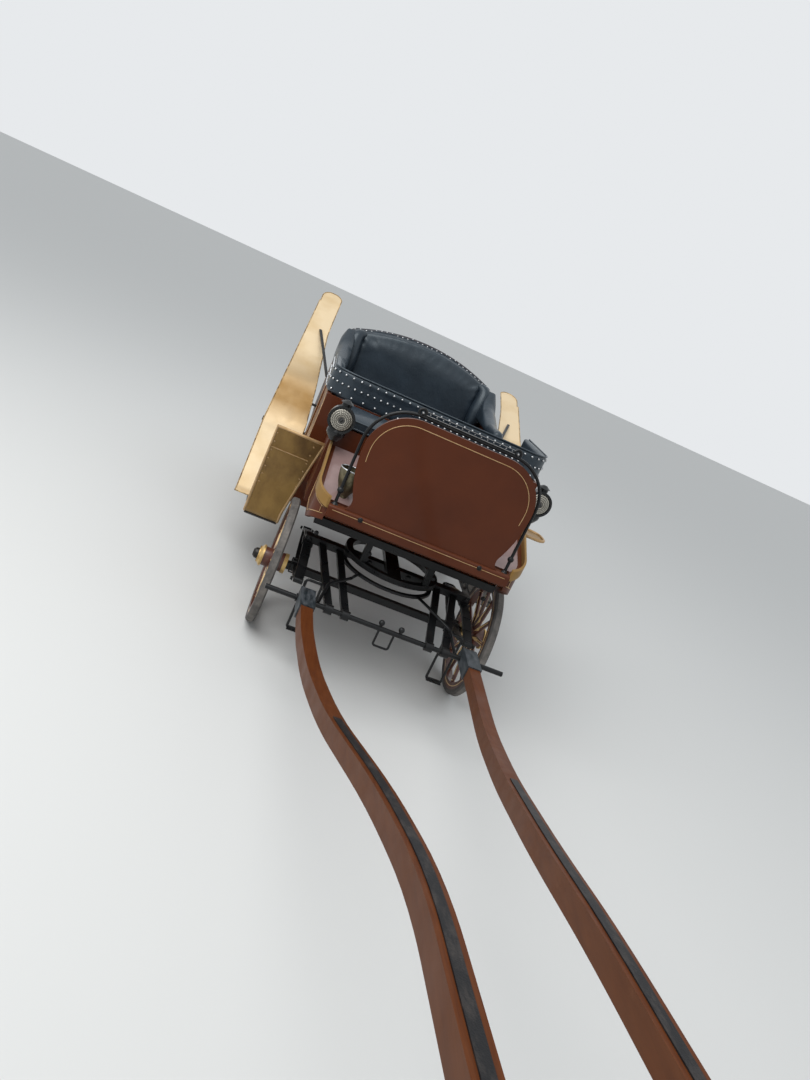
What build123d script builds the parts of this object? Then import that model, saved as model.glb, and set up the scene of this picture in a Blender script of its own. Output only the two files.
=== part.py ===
from build123d import *
from math import atan2, cos, hypot, pi, sin, tan
import os

# Four-wheeled passenger carriage for one pony: a driver's bench behind a curved dash, two passenger
# benches face to face, gold mudguards, a steered fore-carriage and a pair of curved shafts.
# Millimetres. The carriage faces -Y, X runs across and Z up from the floor. Every size below is
# taken from the front axle; at the end all pieces move along Y by one amount, so that the origin
# lies on the floor under the middle of the whole length.
# The driver looks along -Y, so the left side is +X and the right side is -X.

# Wheels and axles
FRONT_WHEEL_R = 310.0
REAR_WHEEL_R = 505.0
FRONT_TRACK = 1045.0
REAR_TRACK = 1490.0
WHEELBASE = 1950.0
TYRE_WIDTH = 38.0
TYRE_DEPTH = 24.0
TYRE_CHAMFER = 7.0
TYRE_SIDES = 96
FELLOE_WIDTH = 34.0
FELLOE_DEPTH = 36.0
FRONT_SPOKES = 12
REAR_SPOKES = 14
SPOKE_ROOT_R = 13.0
SPOKE_TIP_R = 9.5
NAVE_R = 46.0
NAVE_LENGTH = 96.0
INNER_BAND_LENGTH = 18.0
HUB_CAP_R = 27.0
HUB_WALL = 6.0
HUB_LIP = 12.0
CAP_CROWN = 9.0
AXLE_BAR = 34.0
AXLE_ARM_R = 16.0
AXLE_ARM_OVER = 20.0
PIN_CLEARANCE = 0.1
SIDE_PLAY = 2.0
SEAT_GAP = 0.3

# Springs
LEAF = 13.0
EYE_R = 13.0
FRONT_SPRING_X = 405.0
FRONT_SPRING_HALF = 360.0
FRONT_SPRING_WIDTH = 42.0
REAR_SPRING_X = 430.0
REAR_SPRING_HALF = 420.0
REAR_SPRING_WIDTH = 48.0
SPRING_PAD_LENGTH = 92.0
SPRING_PAD_OVER = 5.0
LEAF_STEP = 4.0

# Turntable
KING_PIN_R = 13.0
KING_PIN_OVER = 22.0
RING_R = 236.0
RING_WIDTH = 34.0
RING_PLATE = 12.0
RING_PLAY = 1.0
BOLSTER_BOTTOM = 460.0
BOLSTER_HEIGHT = 34.0
BOLSTER_DEPTH = 52.0
BOLSTER_HALF = 425.0
POST_PLACE = 155.0
POST_SIZE = 30.0
BEAM_HALF = 435.0
BEAM_DEPTH = 40.0
BEAM_BOTTOM = 630.0
BEAM_FRONT_Y = -250.0
BEAM_BACK_Y = 240.0

# Cross bar and the irons that carry it
CROSS_BAR_Y = -545.0
CROSS_BAR_Z = 402.0
CROSS_BAR_R = 11.0
CROSS_BAR_HALF = 535.0
FUTCHELL_WIDTH = 34.0
FUTCHELL_THICK = 14.0
FUTCHELL_EYE_R = 21.0
HOOP_R = 232.0
HOOP_WIDTH = 22.0
HOOP_THICK = 12.0
STAY_R = 7.0
KNOB_R = 13.0
KNOB_NECK_R = 6.0
KNOB_RISE = 27.0
BAR_LOOP_HALF = 34.0
BAR_LOOP_BOTTOM = 323.0
BAR_LOOP_R = 5.0
BAR_COLLAR_R = 17.0
BAR_COLLAR_THICK = 6.0
STIRRUP_Y = -350.0
STIRRUP_INNER_X = 300.0
STIRRUP_WIDTH = 72.0
STIRRUP_BOTTOM = 172.0
STIRRUP_R = 6.0
STIRRUP_HANGER = 18.0

# Shafts
SHAFT_WIDTH = 50.0
SHAFT_HEIGHT = 54.0
STRIP_WIDTH = 24.0
STRIP_DEPTH = 3.0
STRIP_BACK_Y = -1620.0
SHAFT_TIP_ROUND = 20.0
SOCKET_WALL = 6.0
SOCKET_ROUND_SHARE = 0.6
SOCKET_FRONT_Y = -690.0
SOCKET_STEP_Y = -585.0
SOCKET_BACK_Y = -505.0

# Body
WALL = 22.0
BOARD = 20.0
BODY_HALF = 575.0
BODY_FRONT_Y = 300.0
BODY_BACK_Y = WHEELBASE + 124.0
FRONT_FLOOR_BOTTOM = 640.0
WELL_BOTTOM = 430.0
WELL_FRONT_Y = 580.0
WELL_BACK_Y = WHEELBASE - REAR_SPRING_HALF - 80.0
REAR_FLOOR_BOTTOM = 700.0
SIDE_TOP = 1085.0
ENTRY_FRONT_Y = 840.0
ENTRY_BACK_Y = 1240.0
ENTRY_SILL = 600.0
ARM_REST_TOP = 1062.0

# Boot under the driver's feet
BOOT_HALF = 480.0
BOOT_BOTTOM = 664.0
BOOT_BACK_Y = -20.0
BOOT_BEND_Y = -290.0
BOOT_FRONT_Y = -385.0
BOOT_FRONT_HALF = 417.0
BOOT_SIDE_BOTTOM = 640.0
BOOT_NOSE_Y = -236.0
TOE_LOW = (-370.0, 780.0)
TOE_HIGH = (-20.0, 930.0)
MOULDING_THICK = 10.0
MOULDING_BELOW = 12.0
MOULDING_ABOVE = 34.0

# Dash
DASH_BASE_FRONT_Y = -412.0
DASH_BASE_BACK_Y = -356.0
DASH_BASE_BOTTOM = 722.0
DASH_BASE_TOP = 778.0
DASH_BASE_ROUND = 10.0
DASH_FRONT_Y = -398.0
DASH_THICK = 16.0
DASH_TOP_HALF = 192.0
DASH_TOP_Z = 1239.0
DASH_WIDE = (382.0, 1049.0)
DASH_WAIST = (336.0, 832.0)
DASH_FOOT_HALF = 352.0
RAIL_R = 7.0
RAIL_Y = -374.0
RAIL_HALF = 394.0
RAIL_TOP_Z = 1252.0
RAIL_BEND = 182.0
RAIL_FOOT_R = 16.0
RAIL_FOOT_HEIGHT = 10.0
RAIL_COLLAR_R = 14.0
RAIL_COLLAR_Z = 842.0
SCROLL_X = 214.0
SCROLL_R = 15.0
SCROLL_WIRE_R = 6.0
TIE_R = 4.0
TIE_SINK = 2.0

# Driver's bench
DRIVER_BOX_HALF = 500.0
DRIVER_BOX_TOP = 1022.0
DRIVER_CUSHION_HALF = 492.0
DRIVER_CUSHION_TOP = 1084.0
CUSHION_ROUND = 16.0

# Padded rail that wraps the driver's back and the front passengers
RAIL_PAD_HALF = 592.0
RAIL_PAD_FRONT_Y = 300.0
RAIL_PAD_BACK_Y = 832.0
RAIL_PAD_THICK = 42.0
RAIL_PAD_BEND = 130.0
RAIL_PAD_TOP = 1222.0
RAIL_PAD_ROUND = 14.0
RAIL_PAD_GROOVE = 6.0
RAIL_PAD_GROOVE_DEEP = 7.0

# Passenger seats
FRONT_BENCH_TOP = 780.0
FRONT_BENCH_BACK_Y = 740.0
FRONT_CUSHION_TOP = 862.0
REAR_BENCH_TOP = 880.0
REAR_CUSHION_TOP = 985.0
CUSHION_OVER = 12.0
CUSHION_SIDE_GAP = 4.0
BACK_THICK = 64.0
BACK_HALF = 500.0
BACK_CORNER = (468.0, 1317.0)
BACK_CORNER_DROP = 120.0
BACK_TOP = 1400.0
BACK_SHELL_THICK = 20.0
BACK_SHELL_OVER = 8.0
ARM_THICK = 78.0
ARM_OUTER_X = BODY_HALF - 1.0
ARM_ROUND = 34.0
BACK_ROUND = 20.0

# Mudguards and steps
WING_SHEET = 4.0
STEP_TOP = 320.0
STEP_THICK = 8.0
STEP_FRONT_Y = 478.0
STEP_BACK_Y = 822.0
STEP_INNER_X = 556.0
STEP_OUTER_X = 758.0
STEP_IRON_WIDTH = 30.0
STEP_IRON_THICK = 8.0
STEP_IRON_TOP = 560.0
TREAD_PAD_HEIGHT = 6.0
TREAD_PAD_GAP = 6.0
TREAD_PAD_MARGIN = 12.0
STEP_TAPER = 22.0
WING_TIP_R = 66.0
WING_STAY_R = 8.0
WING_STAY_END_X = 760.0
WING_STAY_SHARE = 0.62
FLAT_STAY_WIDTH = 18.0
FLAT_STAY_THICK = 6.0
FLAT_STAY_FOOT = (WHEELBASE - 530.0, 1010.0)
FLAT_STAY_TIP = (728.0, WHEELBASE)

# Lamps and gong
LAMP_X = 486.0
LAMP_Z = 1063.0
LAMP_R = 56.0
LAMP_FRONT_Y = -108.0
LAMP_BACK_Y = -36.0
LAMP_RIM = 5.0
LAMP_BALL_R = 31.0
LAMP_BALL_Z = 986.0
LAMP_ARM = 20.0
LAMP_NECK_R = 22.0
LAMP_HOOD_R = 30.0
LENS_DEPTH = 9.0
GONG_X = -370.0
GONG_Y = -306.0
GONG_RIM_R = 55.0
GONG_FOOT_R = 20.0
GONG_RIM_Z = 926.0
GONG_WALL = 3.0

SIDES = (("left", 1), ("right", -1))

# Centre line of the left shaft; columns: distance from the middle, Y, Z
SHAFT_ROUTE = (
    (366.0, SOCKET_STEP_Y, 414.0),
    (356.0, -860.0, 416.0),
    (324.0, -1200.0, 445.0),
    (280.0, -1570.0, 523.0),
    (205.0, -2060.0, 676.0),
    (176.0, -2420.0, 780.0),
    (180.0, -2900.0, 862.0),
)
SHAFT_BEND_SHARE = 0.42

# Curved stay from the hoop to the cross bar, over the flat irons; columns: X, Y, Z
STAY_ROUTE = (
    (150.0, -168.0, 454.0),
    (190.0, -290.0, 468.0),
    (285.0, -400.0, 450.0),
)
STAY_END_X = 312.0
STAY_BEND = 50.0
STAY_END_GAP = 1.8

# Front mudguard in side view; columns: Y, Z, bend radius
FRONT_WING_ROUTE = (
    (112.0, 885.0, 0.0),
    (325.0, 585.0, 420.0),
    (462.0, STEP_TOP + WING_SHEET / 2, 60.0),
    (540.0, STEP_TOP + WING_SHEET / 2, 0.0),
)
# Front mudguard from the front; columns: X, Z, corner radius
FRONT_WING_FACE = (
    (DRIVER_BOX_HALF + SEAT_GAP, 1000.0, 0.0),
    (DRIVER_BOX_HALF + SEAT_GAP, 880.0, 0.0),
    (522.0, 700.0, 200.0),
    (STEP_INNER_X, 400.0, 0.0),
    (STEP_INNER_X, 300.0, 0.0),
    (737.0, 300.0, 0.0),
    (727.0, 1000.0, 0.0),
)
# Rear mudguard in side view; columns: Y, Z, bend radius
REAR_WING_ROUTE = (
    (748.0, STEP_TOP + WING_SHEET / 2, 0.0),
    (822.0, STEP_TOP + WING_SHEET / 2, 60.0),
    (WHEELBASE - 660.0, 655.0, 240.0),
    (WHEELBASE - 500.0, 930.0, 200.0),
)
REAR_WING_TIP_Y = WHEELBASE + 440.0
# The left rear mudguard is bent down; columns: side, height of the tip
REAR_WING_TIPS = (
    (1, 1312.0),
    (-1, 1442.0),
)
# What is left of the front mudguard on the left, a level piece on the driver's box
LEFT_STUB_TOP = 868.0
LEFT_STUB_FRONT_Y = 62.0
LEFT_STUB_BACK_Y = 206.0
LEFT_STUB_OUTER_X = 668.0
LEFT_STUB_ROUND = 54.0
# Rear mudguard from the front; columns: X, Z, corner radius
REAR_WING_FACE = (
    (586.0, 250.0, 0.0),
    (590.0, 690.0, 200.0),
    (616.0, 900.0, 400.0),
    (672.0, 1200.0, 300.0),
    (664.0, 1600.0, 0.0),
    (806.0, 1600.0, 0.0),
    (824.0, 980.0, 400.0),
    (842.0, 650.0, 300.0),
    (826.0, 250.0, 0.0),
)

parts = {}


def block(x0, x1, y0, y1, z0, z1):
    """Box between two corners."""
    return Pos((x0 + x1) / 2, (y0 + y1) / 2, (z0 + z1) / 2) * Box(abs(x1 - x0), abs(y1 - y0), abs(z1 - z0))


def outline(rows):
    """Closed face from a table whose columns are: across, up, corner radius."""
    line = FilletPolyline(*[row[:2] for row in rows], radius=[row[2] for row in rows], close=True)
    return make_face(line)


def side_plate(face, x0, x1):
    """Plate across X from a face drawn as (Y, Z)."""
    return Pos(min(x0, x1), 0, 0) * extrude(Plane.YZ * face, abs(x1 - x0))


def front_plate(face, y0, y1):
    """Plate across Y from a face drawn as (X, Z)."""
    return Pos(0, max(y0, y1), 0) * extrude(Plane.XZ * face, abs(y1 - y0))


def plan_plate(face, z0, z1):
    """Plate across Z from a face drawn as (X, Y)."""
    return Pos(0, 0, z0) * extrude(Plane.XY * face, z1 - z0)


def rod(points, radius, bend, closed=False):
    """Round rod along straight runs, with its corners rounded to a bend radius."""
    path = FilletPolyline(*points, radius=bend, close=closed)
    return sweep(Plane(origin=path @ 0, z_dir=path % 0) * Circle(radius), path=path)


def rod_x(x0, x1, y, z, radius):
    """Round bar along X."""
    return Pos((x0 + x1) / 2, y, z) * Rot(0, 90, 0) * Cylinder(radius, abs(x1 - x0))


def strip_along(rows, width, thick, offset=0.0):
    """Flat strip of a width across X along a route in the (Y, Z) plane; columns: Y, Z, bend radius."""
    path = FilletPolyline(*[(0, y, z) for y, z, bend in rows], radius=[row[2] for row in rows[1:-1]])
    start = Plane(origin=path @ 0, x_dir=(1, 0, 0), z_dir=path % 0)
    return sweep(start * Pos(0, offset) * Rectangle(width, thick), path=path)


def both_sides(shape):
    """The left piece and its mirror image, as one node."""
    return Compound(children=[shape, mirror(shape, Plane.YZ)])


def largest(shape):
    """The largest solid of a shape."""
    return shape.solids().sort_by(SortBy.VOLUME)[-1]


def toe_line(y):
    """Height of the footboard's top at a place along the carriage."""
    share = (y - TOE_LOW[0]) / (TOE_HIGH[0] - TOE_LOW[0])
    return TOE_LOW[1] + share * (TOE_HIGH[1] - TOE_LOW[1])


def turned_x(rows):
    """Solid of revolution about X from a table whose columns are: radius, place along X."""
    return Rot(0, 90, 0) * revolve(Plane.XZ * make_face(Polyline(*rows, rows[0])), Axis.Z)


def tyre_ring(radius):
    """Tyre about the X axis at the origin: a fine polygon in side view, its outer edges chamfered."""
    half = TYRE_WIDTH / 2
    rows = ((radius - TYRE_CHAMFER, half), (radius, half - TYRE_CHAMFER))
    stations = [(r, -z) for r, z in rows] + [(r, z) for r, z in reversed(rows)]
    rings = [Pos(0, 0, z) * RegularPolygon(r, TYRE_SIDES) for r, z in stations]
    solid = Part() + [loft(pair, ruled=True) for pair in zip(rings, rings[1:])]
    bore_r = (radius - TYRE_DEPTH + SEAT_GAP) / cos(pi / TYRE_SIDES)
    bore = extrude(RegularPolygon(bore_r, TYRE_SIDES), TYRE_WIDTH, both=True)
    return Rot(0, 90, 0) * (solid - bore)


def wheel_pieces(radius, spokes, band_length, cap_length):
    """Wooden wheel, tyre and hub metal about the X axis at the origin, its outer face towards +X."""
    rim_r = radius - TYRE_DEPTH
    tyre = tyre_ring(radius)

    felloe_inner = rim_r - FELLOE_DEPTH
    wood = Cylinder(rim_r, FELLOE_WIDTH) - Cylinder(felloe_inner, FELLOE_WIDTH + 1)
    wood += Cylinder(NAVE_R, NAVE_LENGTH)
    length = felloe_inner - NAVE_R + 2 * HUB_WALL
    spoke = Rot(0, 90, 0) * Cone(SPOKE_ROOT_R, SPOKE_TIP_R, length)
    spoke = Pos(NAVE_R - HUB_WALL + length / 2, 0, 0) * spoke
    for i in range(spokes):
        wood += Rot(0, 0, 360 * (i + 0.5) / spokes) * spoke
    wood -= Cylinder(AXLE_ARM_R + PIN_CLEARANCE, NAVE_LENGTH + 1)
    wood = Rot(0, 90, 0) * wood

    # The cap closes over the end of the axle arm and leaves room round it.
    band_r = NAVE_R + HUB_WALL
    collar_r = HUB_CAP_R + HUB_LIP
    x0 = NAVE_LENGTH / 2 + SEAT_GAP
    x1 = x0 + band_length
    x2 = x1 + cap_length
    hollow_r = AXLE_ARM_R + HUB_WALL
    cap = turned_x([
        (hollow_r, x0), (band_r, x0), (band_r, x0 + band_length / 3), (collar_r, x1 - band_length / 4),
        (collar_r, x1), (HUB_CAP_R, x1), (HUB_CAP_R - CAP_CROWN / 3, x2 - CAP_CROWN),
        (HUB_CAP_R - HUB_LIP, x2), (0, x2), (0, x1), (hollow_r, x1)])
    bore_r = AXLE_ARM_R + SIDE_PLAY
    inner_r = band_r - HUB_WALL / 2
    inner_band = turned_x([
        (bore_r, -x0), (inner_r, -x0), (inner_r, -x0 - INNER_BAND_LENGTH), (bore_r, -x0 - INNER_BAND_LENGTH)])
    return wood, tyre, Compound(children=[cap, inner_band])


def add_wheels():
    """Four wheels on their axle arms."""
    # columns: end, wheel radius, distance from the middle, place along Y, spokes, hub band and cap length
    for end, radius, x, y, spokes, band_length, cap_length in (
            ("front", FRONT_WHEEL_R, FRONT_TRACK / 2, 0.0, FRONT_SPOKES, 26.0, 24.0),
            ("rear", REAR_WHEEL_R, REAR_TRACK / 2, WHEELBASE, REAR_SPOKES, 34.0, 46.0)):
        wood, tyre, hub = wheel_pieces(radius, spokes, band_length, cap_length)
        for side_name, side in SIDES:
            for kind, solid in (("wheel", wood), ("tyre", tyre), ("hub", hub)):
                placed = solid if side > 0 else mirror(solid, Plane.YZ)
                parts[f"{kind}_{end}_{side_name}"] = Pos(side * x, y, radius) * placed


def axle(track, height, y):
    """Square axle bar with a round arm for each wheel."""
    bar_end = track / 2 - NAVE_LENGTH / 2 - SEAT_GAP - INNER_BAND_LENGTH - SIDE_PLAY
    arm_end = track / 2 + NAVE_LENGTH / 2 + AXLE_ARM_OVER
    half = AXLE_BAR / 2
    solid = block(-bar_end, bar_end, y - half, y + half, height - half, height + half)
    return solid + rod_x(-arm_end, arm_end, y, height, AXLE_ARM_R)


def spring(half_length, height, width):
    """Full elliptic leaf spring about the origin, with a rolled eye at each end and a pad above and below."""
    def lens(half, rise):
        bow = (half * half + rise * rise) / (2 * rise)
        return (Pos(0, rise - bow) * Circle(bow)) & (Pos(0, bow - rise) * Circle(bow))
    hollow = lens(half_length - 3 * LEAF, height / 2 - LEAF)
    ring = lens(half_length, height / 2 - 2 * LEAF_STEP) - hollow
    # Shorter leaves lie outside the main one; columns: share of the length, rise of the leaf
    for share, rise in ((0.72, height / 2 - LEAF_STEP), (0.46, height / 2)):
        ring += (lens(half_length, rise) - hollow) & Rectangle(2 * share * half_length, height)
    solid = Pos(-width / 2, 0, 0) * extrude(Plane.YZ * ring, width)
    for end in (-1, 1):
        solid += Pos(0, end * (half_length - EYE_R), 0) * Rot(0, 90, 0) * Cylinder(EYE_R, width)
        pad = Box(width + 2 * SPRING_PAD_OVER, SPRING_PAD_LENGTH, LEAF)
        solid += Pos(0, 0, end * (height - LEAF) / 2) * pad
    return solid


def spring_pair(x, y, half_length, width, bottom, top):
    """Left and right spring between an axle and what it carries."""
    one = spring(half_length, top - bottom, width)
    return Compound(children=[Pos(side * x, y, (top + bottom) / 2) * one for side in (1, -1)])


def ring_plate(z0):
    """Turntable ring with one bar across it that carries the king pin."""
    ring = Cylinder(RING_R, RING_PLATE) - Cylinder(RING_R - RING_WIDTH, RING_PLATE + 1)
    plate = Pos(0, 0, z0 + RING_PLATE / 2) * ring
    reach = RING_R - RING_WIDTH / 2
    return plate + block(-RING_WIDTH, RING_WIDTH, -reach, reach, z0, z0 + RING_PLATE)


def futchell_line(back_x, front_x):
    """Centre line of a flat iron from the middle of the bolster to the cross bar."""
    return Line((back_x, 0, BOLSTER_BOTTOM + BOLSTER_HEIGHT / 2), (front_x, CROSS_BAR_Y, CROSS_BAR_Z))


def add_fore_carriage():
    """Everything that turns with the steering, except the wheels and shafts."""
    parts["front_axle"] = axle(FRONT_TRACK, FRONT_WHEEL_R, 0.0)
    axle_top = FRONT_WHEEL_R + AXLE_BAR / 2
    parts["front_springs"] = spring_pair(
        FRONT_SPRING_X, 0.0, FRONT_SPRING_HALF, FRONT_SPRING_WIDTH, axle_top, BOLSTER_BOTTOM)

    bolster_top = BOLSTER_BOTTOM + BOLSTER_HEIGHT
    half = BOLSTER_DEPTH / 2
    bolster = block(-BOLSTER_HALF, BOLSTER_HALF, -half, half, BOLSTER_BOTTOM, bolster_top)
    bore = Pos(0, 0, bolster_top) * Cylinder(KING_PIN_R + PIN_CLEARANCE, 4 * BOLSTER_HEIGHT)
    parts["bolster"] = bolster - bore
    parts["lower_ring"] = ring_plate(bolster_top) - bore
    add_cross_bar(bolster)
    add_hoop(half)
    add_stirrups()


def add_cross_bar(bolster):
    """Cross bar with its knobs and loop, and the flat irons from the bolster's front face to it."""
    irons = []
    bar_hole = rod_x(-CROSS_BAR_HALF, CROSS_BAR_HALF, CROSS_BAR_Y, CROSS_BAR_Z, CROSS_BAR_R + SEAT_GAP)
    half_eye = FUTCHELL_WIDTH / 2
    # columns: X at the bolster, X at the cross bar
    for back_x, front_x in ((255.0, 189.0), (342.0, 263.0)):
        line = futchell_line(back_x, front_x)
        start = Plane(origin=line @ 0, x_dir=(1, 0, 0), z_dir=line % 0)
        iron = sweep(start * Rectangle(FUTCHELL_WIDTH, FUTCHELL_THICK), path=line)
        iron += rod_x(front_x - half_eye, front_x + half_eye, CROSS_BAR_Y, CROSS_BAR_Z, FUTCHELL_EYE_R)
        irons.append(largest(iron - bar_hole - bolster))
    parts["futchells"] = Compound(children=irons + [mirror(iron, Plane.YZ) for iron in irons])

    bar = rod_x(-CROSS_BAR_HALF, CROSS_BAR_HALF, CROSS_BAR_Y, CROSS_BAR_Z, CROSS_BAR_R)
    for x in (-35.0, 54.0):
        bar += Pos(x, CROSS_BAR_Y, CROSS_BAR_Z + KNOB_RISE) * Sphere(KNOB_R)
        bar += Pos(x, CROSS_BAR_Y, CROSS_BAR_Z + KNOB_RISE / 2) * Cylinder(KNOB_NECK_R, KNOB_RISE)
    bar += rod([
        (-BAR_LOOP_HALF, CROSS_BAR_Y, CROSS_BAR_Z), (-BAR_LOOP_HALF, CROSS_BAR_Y, BAR_LOOP_BOTTOM),
        (BAR_LOOP_HALF, CROSS_BAR_Y, BAR_LOOP_BOTTOM), (BAR_LOOP_HALF, CROSS_BAR_Y, CROSS_BAR_Z)],
        BAR_LOOP_R, bend=2 * BAR_LOOP_R)
    collar_x = SHAFT_ROUTE[0][0] + SHAFT_WIDTH / 2 + SOCKET_WALL + SIDE_PLAY
    for side in (1, -1):
        bar += rod_x(side * collar_x, side * (collar_x + BAR_COLLAR_THICK), CROSS_BAR_Y, CROSS_BAR_Z, BAR_COLLAR_R)
    parts["cross_bar"] = bar


def add_hoop(bolster_half):
    """Half hoop under the bolster, with a curved stay from each side of it to the cross bar."""
    hoop_z = BOLSTER_BOTTOM - HOOP_THICK / 2
    ring = Cylinder(HOOP_R, HOOP_THICK) - Cylinder(HOOP_R - HOOP_WIDTH, HOOP_THICK + 1)
    hoop = Pos(0, 0, hoop_z) * ring & block(-HOOP_R, HOOP_R, -HOOP_R, bolster_half, 0, BOLSTER_BOTTOM)
    last_x, last_y, last_z = STAY_ROUTE[-1]
    fall = atan2(last_z - CROSS_BAR_Z, last_y - CROSS_BAR_Y)
    reach = CROSS_BAR_R + STAY_END_GAP
    end = (STAY_END_X, CROSS_BAR_Y + reach * cos(fall), CROSS_BAR_Z + reach * sin(fall))
    for side in (1, -1):
        hoop += rod([(side * x, y, z) for x, y, z in STAY_ROUTE + (end,)], STAY_R, bend=STAY_BEND)
    parts["hoop_and_stays"] = hoop


def add_stirrups():
    """Hanging loop with a flat foot, one under each outer iron."""
    drop_angle = atan2(BOLSTER_BOTTOM + BOLSTER_HEIGHT / 2 - CROSS_BAR_Z, -CROSS_BAR_Y)
    iron_z = CROSS_BAR_Z + (STIRRUP_Y - CROSS_BAR_Y) * tan(drop_angle)
    iron_bottom = iron_z - FUTCHELL_THICK / 2 / cos(drop_angle)
    hook_top = iron_bottom - SEAT_GAP - STIRRUP_R * tan(drop_angle)
    top = hook_top - STIRRUP_R
    x0 = STIRRUP_INNER_X
    x1 = STIRRUP_INNER_X + STIRRUP_WIDTH
    half_step = STIRRUP_R / 2
    loop = rod([
        (x1, STIRRUP_Y, top), (x1, STIRRUP_Y, STIRRUP_BOTTOM), (x0, STIRRUP_Y, STIRRUP_BOTTOM),
        (x0, STIRRUP_Y, top)], STIRRUP_R, bend=2 * STIRRUP_R, closed=True)
    loop += block(x0 - STIRRUP_HANGER, x0 + STIRRUP_HANGER, STIRRUP_Y - half_step, STIRRUP_Y + half_step,
                  top - half_step, hook_top)
    loop += block(x0, x1, STIRRUP_Y - 3 * STIRRUP_R, STIRRUP_Y + 3 * STIRRUP_R,
                  STIRRUP_BOTTOM - half_step, STIRRUP_BOTTOM + half_step)
    parts["stirrups"] = both_sides(loop)


def route_rows(points):
    """Points of a flat route with the largest arc that their runs leave room for."""
    bends = [0.0]
    for a, b, c in zip(points, points[1:], points[2:]):
        turn = atan2(c[1] - b[1], c[0] - b[0]) - atan2(b[1] - a[1], b[0] - a[0])
        run = min(hypot(b[0] - a[0], b[1] - a[1]), hypot(c[0] - b[0], c[1] - b[1]))
        bends.append(SHAFT_BEND_SHARE * run / abs(tan(turn / 2)))
    return [(a, b, bend) for (a, b), bend in zip(points, bends + [0.0])]


def shaft_band(width, height, lift):
    """A bar of this width and height along the left shaft's route, raised by lift off its centre line."""
    plan_rows = route_rows([(x, y) for x, y, z in SHAFT_ROUTE])
    plan = FilletPolyline(*[row[:2] for row in plan_rows], radius=[row[2] for row in plan_rows[1:-1]])
    start = Plane(origin=plan @ 0, x_dir=(0, 0, 1), z_dir=plan % 0)
    upright = sweep(start * Rectangle(4 * BODY_HALF, width), path=plan)
    side_rows = route_rows([(y, z) for x, y, z in SHAFT_ROUTE])
    return upright & strip_along(side_rows, 2 * BODY_HALF, height, lift)


def add_shafts():
    """Two curved wooden shafts with black strips on top, in iron sockets that turn on the cross bar."""
    shaft = shaft_band(SHAFT_WIDTH, SHAFT_HEIGHT, 0.0)
    shaft = largest(shaft & block(
        0, BODY_HALF, 2 * SHAFT_ROUTE[-1][1], SOCKET_STEP_Y - SEAT_GAP, 0, 2 * SIDE_TOP))
    tip = shaft.faces().sort_by(Axis.Y)[0]
    shaft = fillet([edge for edge in tip.edges() if abs((edge % 0.5).Z) > 0.7], SHAFT_TIP_ROUND)
    strip_cut = block(0, BODY_HALF, 2 * SHAFT_ROUTE[-1][1], STRIP_BACK_Y, 0, 4 * BODY_HALF)
    strip_lift = (SHAFT_HEIGHT + STRIP_DEPTH) / 2
    strip = largest(shaft_band(STRIP_WIDTH, STRIP_DEPTH, strip_lift) & strip_cut)

    x, y, z = SHAFT_ROUTE[0]
    half_w = SHAFT_WIDTH / 2 + SOCKET_WALL
    half_h = SHAFT_HEIGHT / 2 + SOCKET_WALL
    eye = block(x - half_w, x + half_w, SOCKET_STEP_Y, SOCKET_BACK_Y, z - half_h, z + half_h)
    eye = fillet(eye.edges().filter_by(Axis.X).group_by(Axis.Y)[-1], half_h * SOCKET_ROUND_SHARE)
    eye -= rod_x(0, BODY_HALF, CROSS_BAR_Y, CROSS_BAR_Z, CROSS_BAR_R + PIN_CLEARANCE)
    sleeve = shaft_band(2 * half_w, 2 * half_h, 0.0) - shaft_band(
        SHAFT_WIDTH + 2 * SEAT_GAP, SHAFT_HEIGHT + 2 * SEAT_GAP, 0.0)
    sleeve &= block(0, BODY_HALF, SOCKET_FRONT_Y, SOCKET_STEP_Y, 0, BODY_HALF)
    socket = eye + sleeve
    parts["shaft_left"] = shaft
    parts["shaft_right"] = mirror(shaft, Plane.YZ)
    parts["shaft_strips"] = both_sides(strip)
    parts["shaft_sockets"] = both_sides(largest(socket))


def boot_region(shrink, y_back):
    """Plan of the boot as (X, Y): straight sides that round in to the dash base, inset by shrink."""
    half = BOOT_HALF - shrink
    nose = BOOT_FRONT_HALF - shrink
    front_y = BOOT_FRONT_Y + shrink
    side = Line((half, y_back), (half, BOOT_BEND_Y))
    corner = TangentArc((half, BOOT_BEND_Y), (nose, front_y), tangent=(0, -1))
    front = Line((nose, front_y), (-nose, front_y))
    other = TangentArc((-half, BOOT_BEND_Y), (-nose, front_y), tangent=(0, -1))
    far_side = Line((-half, BOOT_BEND_Y), (-half, y_back))
    back = Line((-half, y_back), (half, y_back))
    return make_face([side, corner, front, other, far_side, back])


def boot_plan(shrink, y_back=BOOT_BACK_Y):
    """The boot's plan as a tall solid."""
    return plan_plate(boot_region(shrink, y_back), 0, 2 * SIDE_TOP)


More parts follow.
